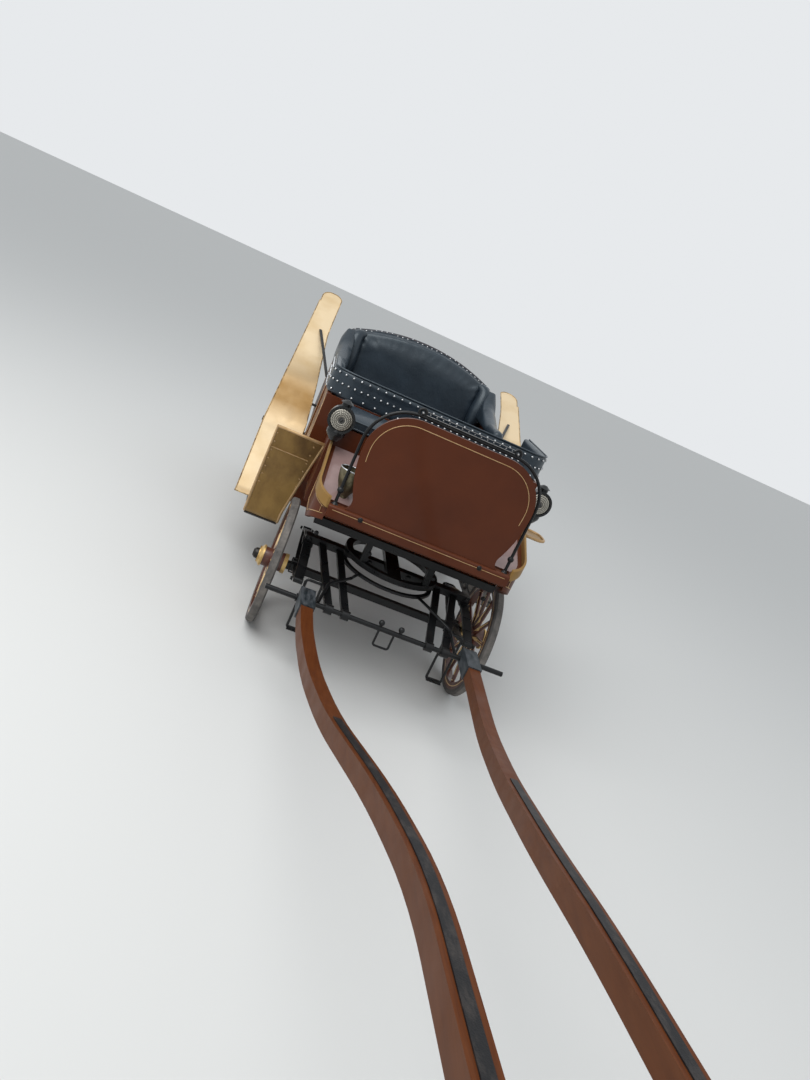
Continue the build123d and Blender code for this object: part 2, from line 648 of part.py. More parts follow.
def add_boot():
    """Footboard, boot sides and floor, gold mouldings, dash base, dash and its rail."""
    ahead = BOOT_FRONT_Y - 3 * BOARD
    ahead_z = toe_line(ahead)
    base = block(-BOOT_FRONT_HALF, BOOT_FRONT_HALF, DASH_BASE_FRONT_Y, DASH_BASE_BACK_Y,
                 DASH_BASE_BOTTOM, DASH_BASE_TOP)
    base_room = block(-BOOT_FRONT_HALF, BOOT_FRONT_HALF, DASH_BASE_FRONT_Y, DASH_BASE_BACK_Y, 0, SIDE_TOP)

    board = outline([
        (ahead, ahead_z - BOARD, 0), (ahead, ahead_z, 0), (BOOT_BACK_Y, TOE_HIGH[1], 0),
        (BOOT_BACK_Y, TOE_HIGH[1] - BOARD, 0)])
    parts["footboard"] = largest((side_plate(board, -BOOT_HALF, BOOT_HALF) & boot_plan(BOARD)) - base_room)

    side_profile = outline([
        (ahead, ahead_z, 0), (BOOT_BACK_Y, TOE_HIGH[1], 0), (BOOT_BACK_Y, BOOT_SIDE_BOTTOM, 0),
        (BOOT_NOSE_Y, BOOT_SIDE_BOTTOM, 60), (ahead, DASH_BASE_BOTTOM, 0)])
    shell = boot_plan(0) - boot_plan(BOARD, BOOT_BACK_Y + 1)
    side = shell & side_plate(side_profile, BOOT_FRONT_HALF - BOARD, BOOT_HALF)
    parts["boot_sides"] = both_sides(largest(side - base_room))

    floor = outline([
        (DASH_BASE_BACK_Y, DASH_BASE_BOTTOM, 0), (DASH_BASE_BACK_Y, DASH_BASE_BOTTOM + BOARD, 0),
        (BOOT_NOSE_Y, BOOT_BOTTOM + BOARD, 0), (BODY_FRONT_Y, BOOT_BOTTOM + BOARD, 0),
        (BODY_FRONT_Y, BOOT_BOTTOM, 0), (BOOT_NOSE_Y, BOOT_BOTTOM, 0)])
    floor_plan = boot_plan(BOARD) + block(-DRIVER_BOX_HALF + BOARD, DRIVER_BOX_HALF - BOARD,
                                          BOOT_BACK_Y, BODY_FRONT_Y, 0, SIDE_TOP)
    parts["boot_floor"] = side_plate(floor, -DRIVER_BOX_HALF, DRIVER_BOX_HALF) & floor_plan

    gold = boot_plan(-MOULDING_THICK) - boot_plan(0, BOOT_BACK_Y + 1)
    strip = outline([
        (ahead, ahead_z - MOULDING_BELOW, 0), (ahead, ahead_z + MOULDING_ABOVE, 0),
        (BOOT_BACK_Y, TOE_HIGH[1] + MOULDING_ABOVE, 0), (BOOT_BACK_Y, TOE_HIGH[1] - MOULDING_BELOW, 0)])
    gold &= side_plate(strip, BOOT_FRONT_HALF + SEAT_GAP, 2 * BOOT_HALF)
    parts["sill_mouldings"] = both_sides(largest(gold))

    parts["dash_base"] = fillet(base.edges().filter_by(Axis.X).group_by(Axis.Y)[0], DASH_BASE_ROUND)
    add_dash()


def add_dash():
    """Curved dash panel with the iron rail behind it."""
    top = Line((0, DASH_TOP_Z), (DASH_TOP_HALF, DASH_TOP_Z))
    shoulder = TangentArc((DASH_TOP_HALF, DASH_TOP_Z), DASH_WIDE, tangent=(1, 0))
    side = TangentArc(DASH_WIDE, DASH_WAIST, tangent=(0, -1))
    flare = TangentArc(DASH_WAIST, (DASH_FOOT_HALF, DASH_BASE_TOP), tangent=side % 1)
    foot = Line((DASH_FOOT_HALF, DASH_BASE_TOP), (0, DASH_BASE_TOP))
    middle = Line((0, DASH_BASE_TOP), (0, DASH_TOP_Z))
    face = make_face([top, shoulder, side, flare, foot, middle])
    half = front_plate(face, DASH_FRONT_Y, DASH_FRONT_Y + DASH_THICK)
    parts["dash_panel"] = half + mirror(half, Plane.YZ)

    rail = rod([
        (-RAIL_HALF, RAIL_Y, DASH_BASE_TOP), (-RAIL_HALF, RAIL_Y, RAIL_TOP_Z),
        (RAIL_HALF, RAIL_Y, RAIL_TOP_Z), (RAIL_HALF, RAIL_Y, DASH_BASE_TOP)], RAIL_R, bend=RAIL_BEND)
    for side in (1, -1):
        foot_z = DASH_BASE_TOP + RAIL_FOOT_HEIGHT / 2
        rail += Pos(side * RAIL_HALF, RAIL_Y, foot_z) * Cone(RAIL_FOOT_R, RAIL_R, RAIL_FOOT_HEIGHT)
        rail += Pos(side * RAIL_HALF, RAIL_Y, RAIL_COLLAR_Z) * Sphere(RAIL_COLLAR_R)
        eye = Rot(90, 0, 0) * Torus(SCROLL_R, SCROLL_WIRE_R)
        rail += Pos(side * SCROLL_X, RAIL_Y, RAIL_TOP_Z + SCROLL_R) * eye
    rail += rod_x(-SCROLL_X, SCROLL_X, RAIL_Y, RAIL_TOP_Z + RAIL_R + TIE_R - TIE_SINK, TIE_R)
    parts["dash_rail"] = rail


def add_front_bench():
    """Driver's box and cushion, the low wall behind it and the padded rail on top."""
    box = block(-DRIVER_BOX_HALF, DRIVER_BOX_HALF, BOOT_BACK_Y, BODY_FRONT_Y, BOOT_SIDE_BOTTOM, DRIVER_BOX_TOP)
    room = DRIVER_BOX_HALF - BOARD
    box -= block(-room, room, BOOT_BACK_Y + BOARD, BODY_FRONT_Y + 1, 0, DRIVER_BOX_TOP - BOARD)
    box -= block(-room, room, BOOT_BACK_Y - 1, BOOT_BACK_Y + BOARD + 1, 0, BOOT_BOTTOM + BOARD)
    parts["driver_box"] = box

    cushion = block(-DRIVER_CUSHION_HALF, DRIVER_CUSHION_HALF, BOOT_BACK_Y - CUSHION_OVER / 2,
                    RAIL_PAD_FRONT_Y - SEAT_GAP, DRIVER_BOX_TOP, DRIVER_CUSHION_TOP)
    parts["driver_cushion"] = fillet(cushion.faces().sort_by(Axis.Z)[-1].edges(), CUSHION_ROUND)

    inner = BODY_HALF - WALL
    floor_top = FRONT_FLOOR_BOTTOM + BOARD
    parts["front_wall"] = block(-inner, inner, BODY_FRONT_Y, BODY_FRONT_Y + WALL, floor_top, SIDE_TOP)

    def plan(inset):
        half = RAIL_PAD_HALF - inset
        front = RAIL_PAD_FRONT_Y + inset
        bend = RAIL_PAD_BEND - inset
        back = RAIL_PAD_BACK_Y + inset
        return outline([(-half, back, 0), (-half, front, bend), (half, front, bend), (half, back, 0)])
    pad = plan_plate(plan(0), SIDE_TOP, RAIL_PAD_TOP)
    pad -= plan_plate(plan(RAIL_PAD_THICK), 0, 2 * RAIL_PAD_TOP)
    pad = fillet(pad.faces().sort_by(Axis.Z)[-1].edges(), RAIL_PAD_ROUND)
    # Two grooves on the outside part the padding into three rolls.
    roll = (RAIL_PAD_TOP - SIDE_TOP) / 3
    skin = plan_plate(plan(-1), 0, RAIL_PAD_TOP) - plan_plate(plan(RAIL_PAD_GROOVE_DEEP), 0, RAIL_PAD_TOP)
    for number in (1, 2):
        middle = SIDE_TOP + number * roll
        half = RAIL_PAD_GROOVE / 2
        pad -= skin & block(-2 * BODY_HALF, 2 * BODY_HALF, 0, BODY_BACK_Y, middle - half, middle + half)
    parts["seat_rail"] = pad


def seat_cushion(half, y0, y1, z0, z1):
    """Plain cushion with a rounded upper edge."""
    cushion = block(-half, half, y0, y1, z0, z1)
    return fillet(cushion.faces().sort_by(Axis.Z)[-1].edges(), CUSHION_ROUND)


def back_face(half, corner_x, top, bottom):
    """Outline of the rear back as (X, Z): upright sides, rounded corners and a long arched top."""
    corner_z = BACK_CORNER[1]
    bend_z = corner_z - BACK_CORNER_DROP
    right = Line((half, bottom), (half, bend_z))
    turn = TangentArc((half, bend_z), (corner_x, corner_z), tangent=(0, 1))
    crown = ThreePointArc((corner_x, corner_z), (0, top), (-corner_x, corner_z))
    turn_back = TangentArc((-half, bend_z), (-corner_x, corner_z), tangent=(0, 1))
    left = Line((-half, bend_z), (-half, bottom))
    return make_face([right, turn, crown, turn_back, left, Line((-half, bottom), (half, bottom))])


def add_body():
    """Side panels, floors, benches, rear back and cushions of the passenger body."""
    side = outline([
        (BODY_FRONT_Y, SIDE_TOP, 0), (BODY_FRONT_Y, FRONT_FLOOR_BOTTOM, 0),
        (WELL_FRONT_Y - 30, FRONT_FLOOR_BOTTOM, 0), (WELL_FRONT_Y, WELL_BOTTOM, 60),
        (WELL_BACK_Y, WELL_BOTTOM, 90), (WELL_BACK_Y + 90, REAR_FLOOR_BOTTOM, 60),
        (BODY_BACK_Y, REAR_FLOOR_BOTTOM, 0), (BODY_BACK_Y, ARM_REST_TOP, 0),
        (ENTRY_BACK_Y + 60, ARM_REST_TOP, 30), (ENTRY_BACK_Y, ARM_REST_TOP - 120, 60),
        (ENTRY_BACK_Y - 40, ENTRY_SILL, 100), (ENTRY_FRONT_Y + 40, ENTRY_SILL, 100),
        (ENTRY_FRONT_Y, SIDE_TOP, 0)])
    for side_name, sign in SIDES:
        parts[f"side_panel_{side_name}"] = side_plate(side, sign * (BODY_HALF - WALL), sign * BODY_HALF)

    # Floor pan: the raised floor over the front wheels, the well's front wall and the well's floor
    inner = BODY_HALF - WALL
    floor_top = FRONT_FLOOR_BOTTOM + BOARD
    well_top = WELL_BOTTOM + BOARD
    pan = block(-inner, inner, BODY_FRONT_Y, WELL_FRONT_Y, FRONT_FLOOR_BOTTOM, floor_top)
    pan += block(-inner, inner, WELL_FRONT_Y, WELL_FRONT_Y + BOARD, WELL_BOTTOM, floor_top)
    pan += block(-inner, inner, WELL_FRONT_Y, WELL_BACK_Y - BOARD, WELL_BOTTOM, well_top)
    parts["floor_pan"] = pan

    bench_y = BODY_FRONT_Y + WALL
    bench = block(-inner, inner, bench_y, FRONT_BENCH_BACK_Y, FRONT_BENCH_TOP - BOARD, FRONT_BENCH_TOP)
    bench += block(-inner, inner, FRONT_BENCH_BACK_Y - BOARD, FRONT_BENCH_BACK_Y, well_top, FRONT_BENCH_TOP)
    parts["front_bench"] = bench
    parts["front_cushion"] = seat_cushion(
        inner - CUSHION_SIDE_GAP, bench_y + SEAT_GAP, FRONT_BENCH_BACK_Y + CUSHION_OVER,
        FRONT_BENCH_TOP, FRONT_CUSHION_TOP)

    riser_y = WELL_BACK_Y - BOARD
    seat = block(-inner, inner, riser_y, WELL_BACK_Y, WELL_BOTTOM, REAR_BENCH_TOP)
    seat += block(-inner, inner, WELL_BACK_Y, BODY_BACK_Y, REAR_BENCH_TOP - BOARD, REAR_BENCH_TOP)
    seat += block(-inner, inner, WELL_BACK_Y, BODY_BACK_Y, REAR_FLOOR_BOTTOM, REAR_FLOOR_BOTTOM + BOARD)
    parts["rear_seat_box"] = seat
    back_y = BODY_BACK_Y - BACK_THICK
    arm_inner = ARM_OUTER_X - ARM_THICK
    parts["rear_cushion"] = seat_cushion(
        arm_inner - CUSHION_SIDE_GAP, riser_y - CUSHION_OVER, back_y - SEAT_GAP, REAR_BENCH_TOP, REAR_CUSHION_TOP)

    padded = back_face(BACK_HALF, BACK_CORNER[0], BACK_TOP, REAR_BENCH_TOP)
    back = front_plate(padded, back_y, BODY_BACK_Y)
    rim = [edge for edge in back.faces().sort_by(Axis.Y)[0].edges() if edge.center().Z > REAR_CUSHION_TOP]
    parts["rear_back"] = fillet(rim, BACK_ROUND)
    shell = back_face(BODY_HALF, BACK_CORNER[0] + BACK_SHELL_OVER, BACK_TOP + BACK_SHELL_OVER / 2, REAR_FLOOR_BOTTOM)
    parts["rear_back_shell"] = front_plate(shell, BODY_BACK_Y, BODY_BACK_Y + BACK_SHELL_THICK)

    # Arms sweep up from the entry to the back; columns: Y, Z, corner radius
    arm_bottom = ARM_REST_TOP + SEAT_GAP
    arm_front_y = ENTRY_BACK_Y + 60
    arm = outline([
        (arm_front_y, arm_bottom, 0), (arm_front_y, arm_bottom + 72, 30), (BODY_BACK_Y - 514, arm_bottom + 84, 300),
        (BODY_BACK_Y - 234, arm_bottom + 158, 300), (back_y - SEAT_GAP, arm_bottom + 240, 0),
        (back_y - SEAT_GAP, arm_bottom, 0)])
    roll = side_plate(arm, arm_inner, ARM_OUTER_X)
    tops = [edge for edge in roll.edges() if edge.center().Z > arm_bottom + ARM_ROUND and abs((edge % 0.5).X) < 0.5]
    tops = [edge for edge in tops if edge.center().Y < back_y - 1]
    parts["rear_arms"] = both_sides(fillet(tops, ARM_ROUND))


def rear_wing(side, tip_z):
    """Rear mudguard of one side, the round stay behind its steep part and the flat stay on top."""
    route = REAR_WING_ROUTE + ((REAR_WING_TIP_Y, tip_z, 0.0),)
    sheet = strip_along(route, 4 * BODY_HALF, WING_SHEET) & front_plate(outline(REAR_WING_FACE), 0, 2 * WHEELBASE)
    inner_x = REAR_WING_FACE[4][0]
    outer_x = REAR_WING_FACE[5][0]
    wide_y = REAR_WING_TIP_Y - 3 * WING_TIP_R
    straight_y = REAR_WING_TIP_Y - 2 * WING_TIP_R
    sheet &= plan_plate(outline([
        (BODY_HALF, 0, 0), (BODY_HALF, wide_y, 0), (inner_x, straight_y, 0), (inner_x, REAR_WING_TIP_Y, WING_TIP_R),
        (outer_x, REAR_WING_TIP_Y, WING_TIP_R), (outer_x, straight_y, 0), (2 * BODY_HALF, wide_y, 0),
        (2 * BODY_HALF, 0, 0)]), 0, 2 * SIDE_TOP)

    (y0, z0, _), (y1, z1, _) = route[2:4]
    run = hypot(y1 - y0, z1 - z0)
    reach = WING_SHEET / 2 + SEAT_GAP + WING_STAY_R
    stay_y = y0 + WING_STAY_SHARE * (y1 - y0) + reach * (z1 - z0) / run
    stay_z = z0 + WING_STAY_SHARE * (z1 - z0) - reach * (y1 - y0) / run
    round_stay = rod_x(BODY_HALF, WING_STAY_END_X, stay_y, stay_z, WING_STAY_R)

    (y0, z0, _), (y1, z1, _) = route[3:5]
    tip_x, tip_y = FLAT_STAY_TIP
    lift = (WING_SHEET / 2 + SEAT_GAP + FLAT_STAY_THICK) * hypot(y1 - y0, z1 - z0) / (y1 - y0)
    end_z = z0 + (tip_y - y0) * (z1 - z0) / (y1 - y0) + lift
    line = Line((BODY_HALF + FLAT_STAY_WIDTH / 2, *FLAT_STAY_FOOT), (tip_x, tip_y, end_z))
    start = Plane(origin=line @ 0, x_dir=(1, 0, 0), z_dir=line % 0)
    flat_stay = sweep(start * Rectangle(FLAT_STAY_WIDTH, FLAT_STAY_THICK), path=line)
    pieces = (largest(sheet), round_stay, flat_stay)
    return pieces if side > 0 else [mirror(piece, Plane.YZ) for piece in pieces]


def add_wings():
    """Gold mudguards, the steps between them and the stays that hold them off the body."""
    front = strip_along(FRONT_WING_ROUTE, 4 * BODY_HALF, WING_SHEET)
    front &= front_plate(outline(FRONT_WING_FACE), 0, WHEELBASE)
    inner_x = FRONT_WING_FACE[0][0]
    stub = plan_plate(outline([
        (inner_x, LEFT_STUB_FRONT_Y, 0), (LEFT_STUB_OUTER_X, LEFT_STUB_FRONT_Y, LEFT_STUB_ROUND),
        (LEFT_STUB_OUTER_X, LEFT_STUB_BACK_Y, LEFT_STUB_ROUND), (inner_x, LEFT_STUB_BACK_Y, 0)]),
        LEFT_STUB_TOP - WING_SHEET, LEFT_STUB_TOP)
    parts["front_wings"] = Compound(children=[mirror(largest(front), Plane.YZ), stub])

    rear = [rear_wing(side, tip_z) for side, tip_z in REAR_WING_TIPS]
    for node, solids in zip(("rear_wings", "wing_stays", "flat_stays"), zip(*rear)):
        parts[node] = Compound(children=list(solids))

    front_outer = STEP_OUTER_X - STEP_TAPER
    tread = outline([
        (STEP_INNER_X, STEP_FRONT_Y, 8), (front_outer, STEP_FRONT_Y, 8), (STEP_OUTER_X, STEP_BACK_Y, 8),
        (STEP_INNER_X, STEP_BACK_Y, 8)])
    step = plan_plate(tread, STEP_TOP - STEP_THICK, STEP_TOP)
    # The raised tread pad lies between the ends of the two mudguards.
    step += block(
        BODY_HALF + STEP_IRON_THICK + TREAD_PAD_MARGIN, front_outer - TREAD_PAD_MARGIN,
        FRONT_WING_ROUTE[-1][0] + TREAD_PAD_GAP, REAR_WING_ROUTE[0][0] - TREAD_PAD_GAP,
        STEP_TOP - 1, STEP_TOP + TREAD_PAD_HEIGHT)
    for y in (STEP_FRONT_Y + 140, STEP_BACK_Y - 110):
        step += block(BODY_HALF, BODY_HALF + STEP_IRON_THICK, y, y + STEP_IRON_WIDTH, STEP_TOP - 1, STEP_IRON_TOP)
    parts["steps"] = both_sides(step)


def add_lamps_and_gong():
    """Two side lamps on balls above the mouldings, and the foot gong by the driver's right foot."""
    mid = (LAMP_FRONT_Y + LAMP_BACK_Y) / 2
    along_y = Rot(90, 0, 0)
    drum = Pos(LAMP_X, mid, LAMP_Z) * along_y * Cylinder(LAMP_R, LAMP_BACK_Y - LAMP_FRONT_Y)
    drum += Pos(LAMP_X, LAMP_FRONT_Y + LAMP_RIM, LAMP_Z) * along_y * Cylinder(LAMP_R + LAMP_RIM, 2 * LAMP_RIM)
    drum -= Pos(LAMP_X, LAMP_FRONT_Y, LAMP_Z) * along_y * Cylinder(LAMP_R - LAMP_RIM, 2 * LENS_DEPTH)
    neck_z = LAMP_Z + LAMP_R + 8
    drum += Pos(LAMP_X, mid, neck_z) * Cylinder(LAMP_NECK_R, 24)
    drum += Pos(LAMP_X, mid, neck_z + 16) * Cone(LAMP_HOOD_R, 8, 14)
    drum += Pos(LAMP_X, mid, LAMP_BALL_Z) * Sphere(LAMP_BALL_R)
    half = LAMP_ARM / 2
    drum += block(LAMP_X - half, LAMP_X + half, mid, BOOT_BACK_Y, LAMP_BALL_Z - half, LAMP_BALL_Z + half)
    parts["lamp_bodies"] = both_sides(drum)

    lens = along_y * Cylinder(LAMP_R - LAMP_RIM - SEAT_GAP, LENS_DEPTH)
    parts["lamp_lenses"] = both_sides(Pos(LAMP_X, LAMP_FRONT_Y + LENS_DEPTH / 2, LAMP_Z) * lens)

    foot_z = toe_line(GONG_Y)
    base_z = foot_z - BOARD
    lip_r = GONG_RIM_R - GONG_WALL
    cup_z = foot_z + 4 * GONG_WALL
    outer = Line((0, base_z), (GONG_FOOT_R, base_z))
    stem = Line((GONG_FOOT_R, base_z), (GONG_FOOT_R, foot_z + GONG_WALL))
    bowl = TangentArc((GONG_RIM_R, GONG_RIM_Z), (GONG_FOOT_R, foot_z + GONG_WALL), tangent=(0, -1))
    lip = Line((GONG_RIM_R, GONG_RIM_Z), (lip_r, GONG_RIM_Z))
    inside = TangentArc((lip_r, GONG_RIM_Z), (GONG_FOOT_R - GONG_WALL, cup_z), tangent=(0, -1))
    cup = Line((GONG_FOOT_R - GONG_WALL, cup_z), (0, cup_z))
    axis = Line((0, cup_z), (0, base_z))
    gong = revolve(Plane.XZ * make_face([outer, stem, bowl, lip, inside, cup, axis]), Axis.Z)
    parts["foot_gong"] = largest(Pos(GONG_X, GONG_Y, 0) * gong - parts["footboard"])


def add_chassis():
    """Upper ring with its king pin, the beams under the boot, rear springs and rear axle."""
    ring_z = BOLSTER_BOTTOM + BOLSTER_HEIGHT + RING_PLATE + RING_PLAY
    pin_bottom = BOLSTER_BOTTOM - KING_PIN_OVER
    pin = Pos(0, 0, (pin_bottom + ring_z) / 2) * Cylinder(KING_PIN_R, ring_z - pin_bottom)
    parts["upper_ring"] = ring_plate(ring_z) + pin

    beams = block(-BEAM_HALF, BEAM_HALF, BEAM_FRONT_Y, BEAM_FRONT_Y + BEAM_DEPTH, BEAM_BOTTOM, BOOT_BOTTOM)
    beams += block(-BEAM_HALF, BEAM_HALF, BEAM_BACK_Y - BEAM_DEPTH, BEAM_BACK_Y, BEAM_BOTTOM, BOOT_BOTTOM)
    wide = BEAM_DEPTH / 2
    slim = POST_SIZE / 2
    for x in (POST_PLACE, -POST_PLACE):
        beams += block(x - wide, x + wide, BEAM_FRONT_Y, BEAM_BACK_Y, BEAM_BOTTOM, BOOT_BOTTOM)
        for y in (-POST_PLACE, POST_PLACE):
            beams += block(x - slim, x + slim, y - slim, y + slim, ring_z + RING_PLATE, BEAM_BOTTOM + 1)
    parts["body_beams"] = beams

    parts["rear_axle"] = axle(REAR_TRACK, REAR_WHEEL_R, WHEELBASE)
    parts["rear_springs"] = spring_pair(
        REAR_SPRING_X, WHEELBASE, REAR_SPRING_HALF, REAR_SPRING_WIDTH,
        REAR_WHEEL_R + AXLE_BAR / 2, REAR_FLOOR_BOTTOM)


add_wheels()
add_fore_carriage()
add_shafts()
add_boot()
add_front_bench()
add_body()
add_wings()
add_lamps_and_gong()
add_chassis()

boxes = [solid.bounding_box() for solid in parts.values()]
shift = -(min(box.min.Y for box in boxes) + max(box.max.Y for box in boxes)) / 2
print(f"pieces move along Y by {shift:.3f} mm")

os.makedirs("parts", exist_ok=True)
for node, solid in parts.items():
    export_step(Pos(0, shift, 0) * solid, f"parts/{node}.step")
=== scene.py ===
import math

import bmesh
import bpy
from mathutils import Matrix, Vector
from mathutils.bvhtree import BVHTree


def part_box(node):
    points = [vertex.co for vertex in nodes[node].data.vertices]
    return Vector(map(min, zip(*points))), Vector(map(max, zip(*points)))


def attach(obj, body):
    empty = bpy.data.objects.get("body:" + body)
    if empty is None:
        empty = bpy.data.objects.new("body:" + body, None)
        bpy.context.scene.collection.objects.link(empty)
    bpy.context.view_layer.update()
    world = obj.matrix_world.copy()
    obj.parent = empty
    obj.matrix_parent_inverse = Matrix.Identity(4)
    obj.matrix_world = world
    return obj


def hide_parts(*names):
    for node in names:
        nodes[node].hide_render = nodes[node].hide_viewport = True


# Looks of the four-wheeled pony carriage: brown gloss paint with gold lines, satin gold mudguards,
# black iron under-carriage, blue-black leather with rows of silver nails. Metres, in the CAD frame.

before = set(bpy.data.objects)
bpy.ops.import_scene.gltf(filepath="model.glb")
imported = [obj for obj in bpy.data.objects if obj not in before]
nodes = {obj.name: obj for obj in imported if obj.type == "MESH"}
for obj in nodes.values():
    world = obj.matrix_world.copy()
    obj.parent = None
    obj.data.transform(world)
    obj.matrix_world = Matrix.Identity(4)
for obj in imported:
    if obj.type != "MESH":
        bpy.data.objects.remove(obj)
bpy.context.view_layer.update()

# Camera
CAMERA_PLACE = (-0.681, -3.2525, 1.65)
CAMERA_YAW = math.radians(11.30)
CAMERA_PITCH = math.radians(15.94)
CAMERA_ROLL = math.radians(25.07)
CAMERA_LENS = 26.0
SENSOR_LONG_SIDE = 36.0

# Colours, linear
BROWN = (0.088, 0.0205, 0.0058)
BROWN_DEEP = (0.066, 0.0150, 0.0045)
BROWN_WORN = (0.17, 0.060, 0.028)
# painted sheen: the sky's reflection on the footwell floor, laid on its upward faces
FOOTWELL_SHEEN = (0.42, 0.31, 0.30)
GOLD = (0.80, 0.63, 0.40)
GOLD_SHADE = (0.64, 0.45, 0.22)
# dark olive gold: the painted dark reflection in the mudguards' belt, and the mouldings' dull tone
GOLD_DARK = (0.25, 0.135, 0.030)
# painted shade on the mudguards' undersides, darker in patches; GOLD_UNDER also colours the handling spots
GOLD_UNDER = (0.36, 0.215, 0.060)
GOLD_UNDER_DARK = (0.14, 0.072, 0.018)
MOULDING_GOLD = (0.52, 0.345, 0.165)
GOLD_EDGE = (0.15, 0.085, 0.030)
LINE_GOLD = (0.50, 0.33, 0.17)
LINE_GOLD_DARK = (0.40, 0.24, 0.09)
IRON_BLACK = (0.0045, 0.0050, 0.0055)
IRON_DUST = (0.030, 0.028, 0.026)
IRON_WORN = (0.11, 0.075, 0.050)
GONG_BRONZE = (0.20, 0.175, 0.11)
SOCKET_GREY = (0.017, 0.025, 0.030)
SOCKET_BARE = (0.085, 0.095, 0.105)
SOCKET_RUST = (0.085, 0.045, 0.028)
LEATHER = (0.0105, 0.0160, 0.0235)
LEATHER_LIGHT = (0.020, 0.029, 0.040)
SHEEN_BLUE = (0.84, 0.95, 1.0)
SHAFT_BROWN = (0.110, 0.033, 0.0095)
SHAFT_DARK = (0.068, 0.019, 0.0060)
# paler tone on the shafts' sides than on their tops
SHAFT_SIDE_PALE = (0.120, 0.058, 0.034)
SHAFT_SCUFF = (0.22, 0.10, 0.05)
STRIP_BLACK = (0.008, 0.008, 0.009)
STRIP_SCUFF = (0.045, 0.038, 0.034)
WHEEL_RED = (0.095, 0.024, 0.013)
WHEEL_GOLD = (0.74, 0.50, 0.22)
WHEEL_RED_DARK = (0.055, 0.017, 0.010)
WHEEL_GRIME = (0.16, 0.12, 0.09)
RUBBER = (0.050, 0.047, 0.045)
RUBBER_DUST = (0.20, 0.18, 0.16)
SILVER = (0.62, 0.63, 0.64)
SILVER_DULL = (0.30, 0.30, 0.30)
BRASS = (0.68, 0.48, 0.20)
BRASS_DARK = (0.42, 0.26, 0.09)
HUB_CAP_BLACK = (0.022, 0.020, 0.018)
ENAMEL_BLACK = (0.010, 0.011, 0.012)
ENAMEL_DUST = (0.060, 0.058, 0.054)
# painted shade in the lens's grooves and painted highlights on its raised rings
LENS_GROOVE_SHADE = (0.016, 0.016, 0.015)
LENS_RING_HIGHLIGHT = (0.46, 0.43, 0.36)
LENS_MIDDLE = (0.020, 0.020, 0.020)
TREAD_BLACK = (0.014, 0.014, 0.014)
TREAD_DUST = (0.10, 0.092, 0.082)
SKY_LOW = (0.50, 0.52, 0.54)
SKY_HIGH = (0.92, 0.96, 1.0)
BACKDROP = (0.80, 0.82, 0.84)
FLOOR_PALE = (0.60, 0.60, 0.585)

# Meshes
WELD = 1e-5
SHARP = math.radians(40)

# Gold lines
LINE_R = 0.0016
DASH_LINE_MARGIN = 0.030
DASH_LINE_FOOT = 0.985
PANEL_LINE_MARGIN = 0.034
BOOT_LINE_MARGIN = 0.026
BASE_LINE_DROP = 0.016
BASE_LINE_END = 0.020

# Mudguards and steps; heights between which the belt of painted dark reflection fades in and out
REFLECTION_BELT_TOP = (0.86, 1.08)
REFLECTION_BELT_FOOT = (0.60, 0.78)
WING_RIM_R = 0.0078
REAR_WING_RIM_R = 0.0034
WING_BEAD_R = 0.0030
WING_BEAD_Z = 0.765
RIVET_R = 0.0055
RIVET_HEIGHT = 0.0035
RIVET_PITCH = 0.048
TREAD_RIB_RATE = 520.0

# Wheels; columns: end, spokes, angle of the first spoke, where the hub's cap begins outside its middle
WHEELS = (
    ("front", 12, math.radians(15), 0.0735),
    ("rear", 14, 0.0, 0.0815),
)
TYRE_THICK = 0.024
SPOKE_LINE_START = 0.085
SPOKE_LINE_STOP = 0.072
SPOKE_LINE_OFFSET = 0.0044
FELLOE_RINGS = (0.044, 0.018)
HUB_RINGS = (0.030, 0.040)
FELLOE_RING_HALF = 0.0020
HUB_RING_HALF = 0.0018
LOZENGE_PLACE = 0.36
LOZENGE_LENGTH = 0.16
LOZENGE_WIDTH = 0.0105

# Under-carriage
CLIP_R = 0.0045
CLIP_TOP = 0.018
SPRING_EYE_INSET = 0.012
BASE_BOLT_X = 0.274
BEAM_BOLT_X = 0.155
BOLSTER_BOLTS_X = (0.10, 0.405)
# bolt heads: radius, height
BODY_BOLT = (0.008, 0.007)
BOLSTER_BOLT = (0.009, 0.009)
SPRING_EYE_BOLT = (0.008, 0.008)

# Lamps, dash rail and gong
LENS_FLUTES = 22.0
LENS_RING_RATE = 760.0
# columns: share of the lens's radius, distance in front of its rim
LENS_PROFILE = (
    (0.0, 0.015), (0.10, 0.0148), (0.16, 0.0125), (0.22, 0.0142), (0.40, 0.0118), (0.46, 0.0134),
    (0.62, 0.0094), (0.68, 0.0104), (0.82, 0.0052), (0.88, 0.0060), (1.0, -0.001))
# columns: radius, height over the bowl's widest place
LAMP_BOWL_PROFILE = (
    (0.0, 0.034), (0.016, 0.032), (0.026, 0.022), (0.040, 0.012), (0.043, 0.0),
    (0.041, -0.012), (0.031, -0.027), (0.016, -0.037), (0.0, -0.040))
LAMP_BOWL_Z = 1.000
LAMP_BOWL_BACK = 0.040
REIN_WIRE_R = 0.0013
REIN_BEAD_R = 0.0030
REIN_BEAD_PITCH = 0.029
REIN_WIRE_GAP = 0.014
SCROLL_PLACE = 0.214
SCROLL_R = 0.016
# radius, height
SCROLL_HEART = (0.0065, 0.012)
GONG_RIM_R = 0.0032

